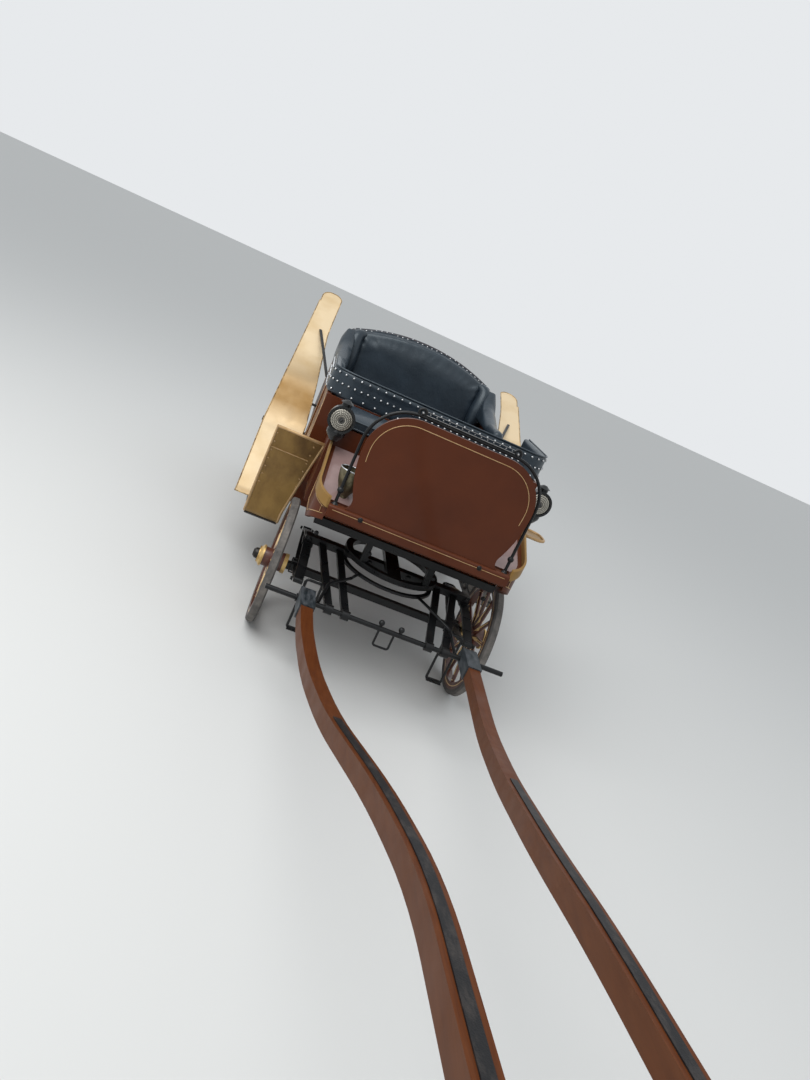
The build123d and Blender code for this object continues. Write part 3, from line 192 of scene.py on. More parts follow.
# Leather; columns of the back's end rolls: X, distance in front of the back, Z, radius
BACK_ROLL = (
    (0.470, 0.030, 0.995, 0.020),
    (0.474, 0.034, 1.020, 0.044),
    (0.480, 0.030, 1.100, 0.054),
    (0.492, 0.020, 1.200, 0.056),
    (0.490, 0.004, 1.255, 0.050),
    (0.470, -0.010, 1.290, 0.040),
    (0.430, -0.022, 1.300, 0.018),
)
WELT_R = 0.0125
WELT_SUNK = 0.004
NAIL_R = 0.0062
NAIL_HEIGHT = 0.0072
NAIL_SUNK = 0.003
NAIL_PITCH_EDGE = 0.037
NAIL_DROP = 0.014
BAND_PITCHES = (0.062, 0.034, 0.042)
PIPING_R = 0.0045
SEAT_RAIL_BEND = 0.130
# columns: cushion, how far it may swell
CUSHIONS = (("driver_cushion", 0.016), ("front_cushion", 0.016), ("rear_cushion", 0.018))
BACK_SWELL = 0.012
ARMS_SWELL = 0.014
RAIL_SWELL = 0.009
CUSHION_SEAM_TOP = 0.016
CUSHION_SEAM_FOOT = 0.012
CUSHION_SHRINK = 0.003
CUSHION_PRESSURE = 4.0
RAIL_PRESSURE = 6.0
CUSHION_VOXEL = 0.009
RAIL_VOXEL = 0.0075
CUSHION_FRAMES = 20

# Stage
DOME_STRENGTH = 0.85
LAMP_SIZE = 5.0
LAMP_POWER = 260.0
LAMP_PLACE = (-2.5, -1.5, 5.0)
LAMP_AIM = (0.0, 0.6, 0.6)
FLOOR_HALF = 60.0

made = {}


# Materials

def blank_material(name, metal=0.0, rough=0.5, shine=0.5, coat=0.0, coat_rough=0.03):
    """A material, its shader with the values that are the same all over, and the point in metres."""
    material = bpy.data.materials.new(name)
    material.use_nodes = True
    shader = material.node_tree.nodes["Principled BSDF"]
    for socket, value in (("Metallic", metal), ("Roughness", rough), ("Specular IOR Level", shine),
                          ("Coat Weight", coat), ("Coat Roughness", coat_rough)):
        shader.inputs[socket].default_value = value
    return material, shader, material.node_tree.nodes.new("ShaderNodeTexCoord").outputs["Object"]


def feed(source, target):
    """Links an output to an input."""
    source.id_data.links.new(source, target)


def stretched(point, scale):
    """The point with each axis scaled, for grain and streaks."""
    mapping = point.id_data.nodes.new("ShaderNodeMapping")
    mapping.inputs["Scale"].default_value = scale
    feed(point, mapping.inputs["Vector"])
    return mapping.outputs["Vector"]


def noise(point, scale, detail=4.0, rough=0.55):
    """Fractal noise from 0 to 1."""
    texture = point.id_data.nodes.new("ShaderNodeTexNoise")
    texture.inputs["Scale"].default_value = scale
    texture.inputs["Detail"].default_value = detail
    texture.inputs["Roughness"].default_value = rough
    feed(point, texture.inputs["Vector"])
    return texture.outputs["Fac"]


def pebbles(point, scale):
    """Distance to the nearest cell's middle, for leather grain and rubber."""
    texture = point.id_data.nodes.new("ShaderNodeTexVoronoi")
    texture.inputs["Scale"].default_value = scale
    feed(point, texture.inputs["Vector"])
    return texture.outputs["Distance"]


def calc(operation, a, b=None):
    """One Math node; a is a socket, b a socket or a number."""
    node = a.id_data.nodes.new("ShaderNodeMath")
    node.operation = operation
    feed(a, node.inputs[0])
    if isinstance(b, (int, float)):
        node.inputs[1].default_value = b
    elif b is not None:
        feed(b, node.inputs[1])
    return node.outputs["Value"]


def times(a, b):
    """A socket times a socket or a number."""
    return calc("MULTIPLY", a, b)


def span(value, low, high, out_low=0.0, out_high=1.0):
    """The value mapped from low..high to out_low..out_high, held at both ends."""
    node = value.id_data.nodes.new("ShaderNodeMapRange")
    node.inputs["From Min"].default_value = low
    node.inputs["From Max"].default_value = high
    node.inputs["To Min"].default_value = out_low
    node.inputs["To Max"].default_value = out_high
    feed(value, node.inputs["Value"])
    return node.outputs["Result"]


def mixed(share, first, second):
    """Two colours mixed by a share; each is a socket or a colour."""
    node = share.id_data.nodes.new("ShaderNodeMix")
    node.data_type = "RGBA"
    feed(share, node.inputs["Factor"])
    for name, value in (("A", first), ("B", second)):
        socket = [s for s in node.inputs if s.name == name and s.type == "RGBA"][0]
        if isinstance(value, tuple):
            socket.default_value = (*value, 1.0)
        else:
            feed(value, socket)
    return [s for s in node.outputs if s.type == "RGBA"][0]


def paint(shader, tone):
    """The shader's colour."""
    feed(tone, shader.inputs["Base Color"])


def gloss(shader, value):
    """The shader's roughness."""
    feed(value, shader.inputs["Roughness"])


def uneven_gloss(shader, point, scale, smoothest, roughest, detail=4.0):
    """Roughness that wanders between two values."""
    gloss(shader, span(noise(point, scale, detail), 0.3, 0.7, smoothest, roughest))


def bump(shader, height, depth, strength=1.0):
    """Relief of a depth in metres on the shader."""
    node = height.id_data.nodes.new("ShaderNodeBump")
    node.inputs["Strength"].default_value = strength
    node.inputs["Distance"].default_value = depth
    feed(height, node.inputs["Height"])
    feed(node.outputs["Normal"], shader.inputs["Normal"])


def axes(vector):
    """The three parts of a vector."""
    node = vector.id_data.nodes.new("ShaderNodeSeparateXYZ")
    feed(vector, node.inputs["Vector"])
    return node.outputs["X"], node.outputs["Y"], node.outputs["Z"]


def facing(point):
    """The three parts of the surface's own direction."""
    return axes(point.id_data.nodes.new("ShaderNodeNewGeometry").outputs["Normal"])


def coach_paint(name, coat, dust_and_sheen_tone, dust_and_sheen_share):
    """Brown coach paint: slight cloudiness, orange peel, and a paler tone on what faces up: dust, and on the
    footwell a painted sheen.
    """
    material, shader, point = blank_material(name, shine=0.18, coat=coat, coat_rough=0.08)
    cloud = noise(point, 3.2, 5.0)
    tone = mixed(span(cloud, 0.35, 0.65), BROWN_DEEP, BROWN)
    specks = span(noise(point, 46.0, 6.0, 0.7), 0.66, 0.78)
    tone = mixed(times(specks, 0.30), tone, BROWN_WORN)
    # A paler tone on what faces up: dust on the body paint, and a painted sheen of the sky's reflection on
    # the footwell floor.
    up = facing(point)[2]
    patches = span(cloud, 0.3, 0.7, 0.4 * dust_and_sheen_share, dust_and_sheen_share)
    dust = times(span(up, 0.5, 0.95), patches)
    tone = mixed(dust, tone, dust_and_sheen_tone)
    paint(shader, tone)
    uneven_gloss(shader, point, 9.0, 0.36, 0.50)
    bump(shader, noise(point, 160.0, 2.0), 0.0004, 0.25)
    return material


def mudguard_gold(name, pale, dull):
    """Satin gold paint: faint clouds, handling spots, a belt of painted dark reflection across the bend, and
    painted shade, darker in patches, where it faces down.
    """
    material, shader, point = blank_material(name, metal=0.45)
    cloud = noise(point, 4.0, 5.0)
    tone = mixed(span(cloud, 0.46, 0.80), pale, dull)
    spots = span(noise(point, 60.0, 5.0, 0.7), 0.68, 0.80)
    tone = mixed(times(spots, 0.4), tone, GOLD_UNDER)
    height = axes(point)[2]
    # A belt of painted dark reflection across the bend, where the horizon's reflection falls.
    belt = times(span(height, *REFLECTION_BELT_TOP, 1.0, 0.0), span(height, *REFLECTION_BELT_FOOT))
    dark_reflection = times(belt, span(noise(point, 5.0, 5.0), 0.25, 0.65, 0.78, 1.0))
    tone = mixed(dark_reflection, tone, GOLD_DARK)
    # Painted shade where the surface faces down, darker in patches.
    shade_below = span(facing(point)[2], -0.45, 0.05, 1.0, 0.0)
    shade_patches = span(noise(stretched(point, (1.0, 0.6, 0.4)), 7.0, 6.0, 0.6), 0.32, 0.66)
    tone = mixed(shade_below, tone, mixed(shade_patches, GOLD_UNDER, GOLD_UNDER_DARK))
    paint(shader, tone)
    uneven_gloss(shader, point, 14.0, 0.38, 0.54)
    bump(shader, noise(stretched(point, (1.0, 0.2, 0.2)), 240.0, 3.0), 0.0005, 0.3)
    return material


def gold_edge():
    """Brown-gold edge of the rear mudguards, where the paint is rubbed thin."""
    material, shader, point = blank_material("gold_edge", metal=0.4)
    tone = mixed(span(noise(point, 22.0, 6.0, 0.7), 0.40, 0.66), GOLD_EDGE, GOLD_SHADE)
    paint(shader, tone)
    uneven_gloss(shader, point, 40.0, 0.36, 0.56)
    bump(shader, noise(point, 260.0, 4.0), 0.0004, 0.3)
    return material


def line_gold():
    """Hand-drawn pale gold line."""
    material, shader, point = blank_material("line_gold", metal=0.35, rough=0.42)
    tone = mixed(span(noise(point, 40.0), 0.35, 0.7), LINE_GOLD, LINE_GOLD_DARK)
    paint(shader, tone)
    bump(shader, noise(point, 300.0), 0.0002, 0.3)
    return material


def painted_iron():
    """Black painted iron with patches of dust and thin worn spots."""
    material, shader, point = blank_material("painted_iron", shine=0.30)
    grime = span(noise(point, 11.0, 6.0, 0.65), 0.54, 0.84)
    tone = mixed(times(grime, 0.40), IRON_BLACK, IRON_DUST)
    worn = span(noise(point, 75.0, 6.0, 0.75), 0.68, 0.76)
    tone = mixed(times(worn, 0.6), tone, IRON_WORN)
    paint(shader, tone)
    uneven_gloss(shader, point, 22.0, 0.24, 0.46)
    bump(shader, noise(point, 120.0, 5.0), 0.0008, 0.35)
    return material


def worn_socket():
    """Grey-blue iron of the shaft sockets, rubbed bare in streaks along the shaft."""
    material, shader, point = blank_material("worn_socket", metal=0.45)
    streaks = noise(stretched(point, (1.0, 0.25, 1.0)), 60.0, 6.0, 0.7)
    tone = mixed(span(streaks, 0.40, 0.62), SOCKET_GREY, SOCKET_BARE)
    rust = span(noise(point, 28.0, 6.0, 0.7), 0.60, 0.74)
    tone = mixed(times(rust, 0.40), tone, SOCKET_RUST)
    paint(shader, tone)
    gloss(shader, span(streaks, 0.3, 0.7, 0.38, 0.62))
    bump(shader, noise(point, 150.0, 5.0), 0.0008, 0.4)
    return material


def seat_leather():
    """Blue-black leather: fine pebbles, soft creases and paler rubbed places."""
    material, shader, point = blank_material("seat_leather", coat=0.30, coat_rough=0.22)
    rubbed = span(noise(point, 4.5, 4.0), 0.45, 0.72)
    paint(shader, mixed(rubbed, LEATHER, LEATHER_LIGHT))
    uneven_gloss(shader, point, 8.0, 0.34, 0.48)
    shader.inputs["Specular Tint"].default_value = (*SHEEN_BLUE, 1.0)
    shader.inputs["Coat Tint"].default_value = (*SHEEN_BLUE, 1.0)
    grain = times(pebbles(point, 420.0), 0.35)
    creases = span(noise(stretched(point, (1.0, 1.4, 0.8)), 26.0, 7.0, 0.62), 0.40, 0.62)
    bump(shader, calc("ADD", grain, creases), 0.0012, 0.45)
    return material


def shaft_varnish():
    """Brown painted shaft: faint grain along its length, a paler tone on its sides than on its top, worn
    edges.
    """
    material, shader, point = blank_material("shaft_varnish", shine=0.07)
    grain = noise(stretched(point, (1.0, 0.045, 0.35)), 150.0, 5.0, 0.6)
    tone = mixed(span(grain, 0.30, 0.75), SHAFT_DARK, SHAFT_BROWN)
    up = facing(point)[2]
    patches = span(noise(point, 6.0, 5.0), 0.3, 0.7, 0.4, 1.0)
    # Paler on the sides than on the top.
    side_pale = times(span(up, 0.2, 0.8, 0.45, 0.0), patches)
    tone = mixed(side_pale, tone, SHAFT_SIDE_PALE)
    scuffs = span(noise(stretched(point, (1.0, 0.3, 1.0)), 24.0, 6.0, 0.7), 0.64, 0.80)
    tone = mixed(times(scuffs, 0.35), tone, SHAFT_SCUFF)
    paint(shader, tone)
    uneven_gloss(shader, point, 12.0, 0.34, 0.50)
    bump(shader, grain, 0.0006, 0.35)
    return material


def rub_strip():
    """Black strip tacked along the shaft's top, dusty and scuffed."""
    material, shader, point = blank_material("rub_strip", rough=0.50, shine=0.20)
    scuffs = span(noise(stretched(point, (1.0, 0.3, 1.0)), 40.0, 6.0, 0.7), 0.48, 0.75)
    paint(shader, mixed(scuffs, STRIP_BLACK, STRIP_SCUFF))
    bump(shader, pebbles(point, 300.0), 0.0006, 0.4)
    return material


def tyre_rubber():
    """Grey-black solid rubber, pale with dust where it runs on the ground."""
    material, shader, point = blank_material("tyre_rubber", rough=0.78)
    side = calc("ABSOLUTE", facing(point)[0])
    patches = span(noise(point, 16.0, 6.0, 0.7), 0.30, 0.65)
    dust = times(span(side, 0.2, 0.9, 0.75, 0.20), patches)
    paint(shader, mixed(dust, RUBBER, RUBBER_DUST))
    bump(shader, noise(point, 190.0, 5.0, 0.7), 0.0012, 0.5)
    return material


def polar(across, height, centre_across, centre_height):
    """Distance from a centre and angle about it, in the plane of two of the point's parts."""
    along = calc("SUBTRACT", across, centre_across)
    up = calc("SUBTRACT", height, centre_height)
    squares = calc("ADD", times(along, along), times(up, up))
    return calc("SQRT", squares), calc("ARCTAN2", up, along)


def near(value, target, half_width):
    """1 where the value lies within half_width of the target, else 0."""
    gap = calc("ABSOLUTE", calc("SUBTRACT", value, target))
    return calc("LESS_THAN", gap, half_width)


def wheel_paint(name, centre_y, centre_z, rim_r, spokes, first_angle):
    """Dark red-brown wheel with gold lines: two rings on the felloe and a pair along each spoke."""
    material, shader, point = blank_material(name, coat=0.3)
    _, y, z = axes(point)
    radius, angle = polar(y, z, centre_y, centre_z)
    step = 2 * math.pi / spokes
    turns = calc("DIVIDE", calc("SUBTRACT", angle, first_angle), step)
    offset = calc("SUBTRACT", turns, calc("ROUND", turns))
    across = times(times(offset, step), radius)
    outward = calc("GREATER_THAN", calc("ABSOLUTE", facing(point)[0]), 0.55)
    on_spoke = times(calc("GREATER_THAN", radius, SPOKE_LINE_START),
                    calc("LESS_THAN", radius, rim_r - SPOKE_LINE_STOP))
    pair = near(calc("ABSOLUTE", across), SPOKE_LINE_OFFSET, LINE_R)
    lines = times(pair, on_spoke)
    for ring in FELLOE_RINGS:
        lines = calc("MAXIMUM", lines, near(radius, rim_r - ring, FELLOE_RING_HALF))
    for ring in HUB_RINGS:
        lines = calc("MAXIMUM", lines, near(radius, ring, HUB_RING_HALF))
    spread = calc("ABSOLUTE", calc("SUBTRACT", radius, LOZENGE_PLACE * rim_r))
    width = span(spread, 0.0, LOZENGE_LENGTH * rim_r, LOZENGE_WIDTH, 0.0)
    lines = calc("MAXIMUM", lines, calc("LESS_THAN", calc("ABSOLUTE", across), width))
    lines = times(lines, outward)
    tone = mixed(span(noise(point, 14.0, 5.0), 0.35, 0.70), WHEEL_RED, WHEEL_RED_DARK)
    grime = span(noise(point, 34.0, 6.0, 0.7), 0.55, 0.78)
    tone = mixed(times(grime, 0.45), tone, WHEEL_GRIME)
    paint(shader, mixed(lines, tone, WHEEL_GOLD))
    uneven_gloss(shader, point, 20.0, 0.30, 0.50)
    bump(shader, noise(point, 90.0, 4.0), 0.0006, 0.3)
    return material


def hub_metal(name, cap_start):
    """Gold hub band with a dark cap beyond a distance from the carriage's middle."""
    material, shader, point = blank_material(name, metal=0.7)
    reach = calc("ABSOLUTE", axes(point)[0])
    tone = mixed(span(noise(point, 30.0, 5.0), 0.35, 0.7), BRASS, BRASS_DARK)
    tone = mixed(calc("GREATER_THAN", reach, cap_start), tone, HUB_CAP_BLACK)
    paint(shader, tone)
    uneven_gloss(shader, point, 60.0, 0.26, 0.46, 5.0)
    bump(shader, noise(point, 140.0), 0.0004, 0.3)
    return material


def bare_metal(name, colour, rough, spots):
    """Bright metal such as nail heads, lens rings and nuts, with tarnish."""
    material, shader, point = blank_material(name, metal=0.9)
    tarnish = span(noise(point, spots, 5.0, 0.7), 0.42, 0.72)
    dull = tuple(part * 0.45 for part in colour)
    paint(shader, mixed(tarnish, colour, dull))
    uneven_gloss(shader, point, 2 * spots, rough, rough + 0.18)
    bump(shader, noise(point, 4 * spots), 0.0003, 0.25)
    return material


def lamp_enamel():
    """Glossy black enamel of the lamps with fine dust."""
    material, shader, point = blank_material("lamp_enamel", shine=0.25, coat=0.25, coat_rough=0.05)
    dust = times(span(noise(point, 40.0, 6.0, 0.7), 0.50, 0.80), 0.3)
    paint(shader, mixed(dust, ENAMEL_BLACK, ENAMEL_DUST))
    uneven_gloss(shader, point, 18.0, 0.16, 0.30)
    bump(shader, noise(point, 120.0, 3.0), 0.0003, 0.25)
    return material


def lens_silver(name, centre_x, centre_z):
    """Pressed bronze-silver lens face: rings of small petals round a dark middle, the raised petals painted
    bright as highlights and the grooves dark as shade.
    """
    material, shader, point = blank_material(name, metal=0.55, rough=0.24, coat=0.6)
    x, _, z = axes(point)
    radius, angle = polar(x, z, centre_x, centre_z)
    flutes = calc("SINE", times(angle, LENS_FLUTES))
    rings = calc("SINE", times(radius, LENS_RING_RATE))
    relief = calc("ADD", times(flutes, rings), rings)
    # Colour follows the relief: painted highlights on the raised petals, painted shade in the grooves.
    tone = mixed(span(relief, -1.2, 1.2), LENS_GROOVE_SHADE, LENS_RING_HIGHLIGHT)
    tone = mixed(span(radius, 0.010, 0.017), LENS_MIDDLE, tone)
    paint(shader, tone)
    bump(shader, relief, 0.0012, 0.5)
    return material


def ribbed_tread():
    """Black step iron, ribbed across and grey with dust where it is trodden on."""
    material, shader, point = blank_material("ribbed_tread")
    trodden = span(facing(point)[2], 0.85, 0.97)
    ribs = calc("SINE", times(axes(point)[1], TREAD_RIB_RATE))
    patches = span(noise(point, 20.0, 6.0, 0.7), 0.40, 0.75)
    dust = times(patches, span(trodden, 0.0, 1.0, 0.35, 1.0))
    paint(shader, mixed(dust, TREAD_BLACK, TREAD_DUST))
    gloss(shader, span(trodden, 0.0, 1.0, 0.42, 0.66))
    bump(shader, times(ribs, trodden), 0.0018, 0.7)
    return material


# Making pieces

def dress(mesh, material):
    """Puts one material on a mesh."""
    mesh.materials.clear()
    mesh.materials.append(material)


def merged(node):
    """A welded copy of a CAD node's mesh."""
    bm = bmesh.new()
    bm.from_mesh(nodes[node].data)
    bmesh.ops.remove_doubles(bm, verts=bm.verts, dist=WELD)
    bm.normal_update()
    return bm


def dress_piece(obj, finish, body):
    """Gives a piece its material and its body."""
    dress(obj.data, made[finish])
    for polygon in obj.data.polygons:
        polygon.use_smooth = True
    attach(obj, body)


def mesh_of(name, bm):
    """A new mesh from a bmesh, which is then freed."""
    mesh = bpy.data.meshes.new(name)
    bm.to_mesh(mesh)
    bm.free()
    return mesh


def in_scene(name, data):
    """A new object in the scene."""
    obj = bpy.data.objects.new(name, data)
    bpy.context.scene.collection.objects.link(obj)
    return obj


def finish_piece(name, mesh, finish, body="body"):
    """Puts a finished mesh in the scene, on its body and with its finish."""
    obj = in_scene(name, mesh)
    dress_piece(obj, finish, body)
    return obj


def from_bmesh(name, bm, finish, body="body"):
    """Puts a bmesh in the scene as a piece."""
    bmesh.ops.recalc_face_normals(bm, faces=bm.faces)
    return finish_piece(name, mesh_of(name, bm), finish, body)


def smooth_region(bm, towards):
    """Faces joined without a sharp edge to the largest face that looks a given way."""
    towards = Vector(towards)
    start = max((f for f in bm.faces if f.normal.dot(towards) > 0.5), key=lambda f: f.calc_area())
    region = {start}
    waiting = [start]
    while waiting:
        face = waiting.pop()
        for edge in face.edges:
            for other in edge.link_faces:
                if other not in region and other.normal.angle(face.normal, math.pi) < SHARP:
                    region.add(other)
                    waiting.append(other)
    return region


def touched(node, start, towards):
    """Where a line from a point first meets a CAD node, and the surface's direction there."""
    bm = merged(node)
    place, direction, _, _ = BVHTree.FromBMesh(bm).ray_cast(Vector(start), Vector(towards))
    bm.free()
    return place, direction


def border_lines(bm):
    """The open borders of a surface as closed lines of points."""
    left = {edge for edge in bm.edges if len(edge.link_faces) == 1}
    lines = []
    while left:
        edge = left.pop()
        line = [edge.verts[0], edge.verts[1]]
        while line[-1] != line[0]:
            following = [e for e in line[-1].link_edges if e in left]
            if not following:
                break
            left.discard(following[0])
            line.append(following[0].other_vert(line[-1]))
        if len(line) > 3:
            lines.append([vert.co.copy() for vert in line[:-1]])
    return lines


def surface_borders(node, towards, margin, half=None):
    """Border lines of one side of a CAD node, drawn in by a margin; half keeps X above or below 0."""
    bm = merged(node)
    if half:
        far = [v for v in bm.verts if v.co.x * half < 0]
        bmesh.ops.delete(bm, geom=far, context="VERTS")
    region = smooth_region(bm, towards)
    bmesh.ops.delete(bm, geom=[f for f in bm.faces if f not in region], context="FACES")
    if margin > 0:
        bmesh.ops.dissolve_limit(bm, angle_limit=math.radians(0.5), verts=bm.verts, edges=bm.edges)
        border = bmesh.ops.inset_region(
            bm, faces=bm.faces, thickness=margin, use_even_offset=True, use_boundary=True)
        bmesh.ops.delete(bm, geom=border["faces"], context="FACES")
    lines = border_lines(bm)
    bm.free()
    return lines


def curve_mesh(curve):
    """The mesh of a curve, which is then removed."""
    holder = bpy.data.objects.new(curve.name, curve)
    mesh = bpy.data.meshes.new_from_object(holder)
    bpy.data.objects.remove(holder)
    bpy.data.curves.remove(curve)
    return mesh


def tube(name, lines, radius, finish, body="body", closed=True):
    """Round wire along lines of points."""
    curve = bpy.data.curves.new(name, "CURVE")
    curve.dimensions = "3D"
    curve.bevel_depth = radius
    curve.bevel_resolution = 2
    curve.use_fill_caps = True
    for line in lines:
        spline = curve.splines.new("POLY")
        spline.points.add(len(line) - 1)
        for target, point in zip(spline.points, line):
            target.co = (*point, 1.0)
        spline.use_cyclic_u = closed
    return finish_piece(name, curve_mesh(curve), finish, body)


def standing(place, direction):
    """The matrix that takes a shape drawn along +Z at the origin to a place and a direction."""
    turn = Vector((0, 0, 1)).rotation_difference(Vector(direction)).to_matrix().to_4x4()
    return Matrix.Translation(place) @ turn


def turned(profile, steps, place=(0, 0, 0), axis=(0, 0, 1)):
    """A bmesh turned from a profile of (radius, distance along the axis) about an axis at a place."""
    bm = bmesh.new()
    verts = [bm.verts.new((radius, 0, along)) for radius, along in profile]
    edges = [bm.edges.new(pair) for pair in zip(verts, verts[1:])]
    bmesh.ops.spin(bm, geom=verts + edges, cent=(0, 0, 0), axis=(0, 0, 1), angle=2 * math.pi, steps=steps,
                   use_merge=True)
    bmesh.ops.remove_doubles(bm, verts=bm.verts, dist=WELD)
    bmesh.ops.recalc_face_normals(bm, faces=bm.faces)
    bmesh.ops.transform(bm, matrix=standing(place, axis), verts=bm.verts)
    return bm


def scattered(name, one, rows, finish, body="body"):
    """Copies of one small shape, drawn along +Z at the origin; rows are (place, direction)."""
    small = mesh_of(name + "_one", one)
    bm = bmesh.new()
    for place, direction in rows:
        before = len(bm.verts)
        bm.from_mesh(small)
        bm.verts.ensure_lookup_table()
        bmesh.ops.transform(bm, matrix=standing(place, direction), verts=bm.verts[before:])
    bpy.data.meshes.remove(small)
    return from_bmesh(name, bm, finish, body)


def dome(radius, height):
    """Nail or rivet head, flat below."""
    profile = [(0.0, height), (0.45 * radius, 0.86 * height), (0.82 * radius, 0.5 * height), (radius, 0.0),
               (0.0, 0.0)]
    return turned(profile, 10)


def bolt_head(radius, height):
    """Six-sided head on a round washer."""
    bm = turned([(0.0, 0.25 * height), (1.35 * radius, 0.25 * height), (1.35 * radius, 0.0), (0.0, 0.0)], 16)
    head = bmesh.ops.create_cone(
        bm, cap_ends=True, segments=6, radius1=radius, radius2=radius, depth=height)
    bmesh.ops.translate(bm, vec=(0, 0, 0.7 * height), verts=head["verts"])
    top = [e for v in head["verts"] for e in v.link_edges if all(w.co.z > height for w in e.verts)]
    bmesh.ops.bevel(bm, geom=list(set(top)), offset=0.15 * radius, segments=2, profile=0.5, affect="EDGES",
                    material=-1)
    return bm


def both(rows):
    """The rows and their mirror images on the other side."""
    mirrored = [(Vector((-p[0], p[1], p[2])), Vector((-d[0], d[1], d[2]))) for p, d in rows]
    return [(Vector(p), Vector(d)) for p, d in rows] + mirrored


# Stuffed leather

def soft_roll(name, route):
    """Stuffed leather roll along a smooth route of (place, radius)."""
    curve = bpy.data.curves.new(name, "CURVE")
    curve.dimensions = "3D"
    curve.bevel_depth = 1.0
    curve.bevel_resolution = 8
    curve.use_fill_caps = True
    curve.resolution_u = 10
    spline = curve.splines.new("NURBS")
    spline.points.add(len(route) - 1)
    spline.order_u = 4
    spline.use_endpoint_u = True
    for target, (place, radius) in zip(spline.points, route):
        target.co = (*place, 1.0)
        target.radius = radius
    return finish_piece(name, curve_mesh(curve), "leather")


def stuffed(node, cap, held=None, pressure=CUSHION_PRESSURE, voxel=CUSHION_VOXEL):
    """Leather pad on the body, from a CAD solid: remeshed, blown up by a cloth simulation, its swelling
    capped. held(point) says which points a seam or a nail holds."""
    name = node + "_leather"
    obj = in_scene(name, mesh_of(name, merged(node)))
    remesh = obj.modifiers.new("remesh", "REMESH")
    remesh.mode = "VOXEL"
    remesh.voxel_size = voxel
    obj.data = settled(obj)
    obj.modifiers.clear()
    soften(obj.data, 4, CUSHION_SHRINK)
    rest = [vert.co.copy() for vert in obj.data.vertices]
    group = obj.vertex_groups.new(name="held")
    if held:
        fixed = [i for i, point in enumerate(rest) if held(point)]
        group.add(fixed, 1.0, "ADD")
    cloth = obj.modifiers.new("cloth", "CLOTH")
    cloth.settings.quality = 5
    cloth.settings.use_pressure = True
    cloth.settings.uniform_pressure_force = pressure
    cloth.settings.tension_stiffness = 12
    cloth.settings.compression_stiffness = 12
    cloth.settings.bending_stiffness = 0.8
    cloth.settings.effector_weights.gravity = 0
    cloth.collision_settings.use_collision = False
    if held:
        cloth.settings.vertex_group_mass = "held"
    cloth.point_cache.frame_start = 1
    cloth.point_cache.frame_end = CUSHION_FRAMES
    for number in range(1, CUSHION_FRAMES + 1):
        bpy.context.scene.frame_set(number)
    blown = settled(obj)
    obj.modifiers.clear()
    for vert, home in zip(blown.vertices, rest):
        move = vert.co - home
        if move.length > cap:
            vert.co = home + move * (cap / move.length)
    obj.data = blown
    bpy.context.scene.frame_set(1)
    soften(obj.data, 3)
    dress_piece(obj, "leather", "body")
    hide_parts(node)
    return obj


def settled(obj):
    """The object's mesh with its modifiers applied."""
    bpy.context.view_layer.update()
    graph = bpy.context.evaluated_depsgraph_get()
    return bpy.data.meshes.new_from_object(obj.evaluated_get(graph))


def soften(mesh, rounds, depth=0.0):
    """Smooths voxel steps and the simulation's small noise, and draws the surface in by a depth."""
    bm = bmesh.new()
    bm.from_mesh(mesh)
    for _ in range(rounds):
        bmesh.ops.smooth_vert(
            bm, verts=bm.verts, factor=0.5, use_axis_x=True, use_axis_y=True, use_axis_z=True)
    bm.normal_update()
    for vert in bm.verts:
        vert.co -= vert.normal * depth
    bm.to_mesh(mesh)
    bm.free()


def rounded_loop(low, high, z, inset, corner, steps=8):
    """Closed line round a box's plan at a height, with rounded corners."""
    x0, x1 = low.x + inset, high.x - inset
    y0, y1 = low.y + inset, high.y - inset
    line = []
    for cx, cy, first in ((x1 - corner, y1 - corner, 0), (x0 + corner, y1 - corner, 90),
                          (x0 + corner, y0 + corner, 180), (x1 - corner, y0 + corner, 270)):
        for i in range(steps + 1):
            a = math.radians(first + 90 * i / steps)
            line.append(Vector((cx + corner * math.cos(a), cy + corner * math.sin(a), z)))
    return line


def seat_cushion(node, cap):
    """One seat cushion with piping round its upper and lower edge."""
    low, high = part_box(node)
    seams = (high.z - CUSHION_SEAM_TOP, low.z + CUSHION_SEAM_FOOT)

    def held(point):
        side = min(point.x - low.x, high.x - point.x, point.y - low.y, high.y - point.y)
        return side < 0.014 and min(abs(point.z - z) for z in seams) < 0.006 or point.z < low.z + 0.008
    stuffed(node, cap, held)
    lines = [rounded_loop(low, high, z, 0.0045, 0.018) for z in seams]
    tube(node + "_piping", lines, PIPING_R, "leather")


def seat_rail_walk(pitch, z, out=0.0):
    """Places at equal steps along the outside of the padded rail, each with its outward direction."""
    low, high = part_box("seat_rail")
    half = high.x + out
    front = low.y - out
    bend = SEAT_RAIL_BEND + out
    straight = high.y - (front + bend)
    quarter = bend * math.pi / 2
    middle = 2 * (half - bend)
    total = 2 * straight + 2 * quarter + middle
    count = round(total / pitch)
    rows = []
    for i in range(count + 1):
        s = total * i / count
        if s > total / 2:
            side, walked = -1, total - s
        else:
            side, walked = 1, s
        if walked < straight:
            place, direction = (half, high.y - walked), (1, 0)
        elif walked < straight + quarter:
            a = (walked - straight) / bend
            place = (half - bend + bend * math.cos(a), front + bend - bend * math.sin(a))
            direction = (math.cos(a), -math.sin(a))
        else:
            place, direction = (half - bend - (walked - straight - quarter), front), (0, -1)
        outward = Vector((side * direction[0], direction[1], 0))
        rows.append((Vector((side * place[0], place[1], z)), outward))
    return rows


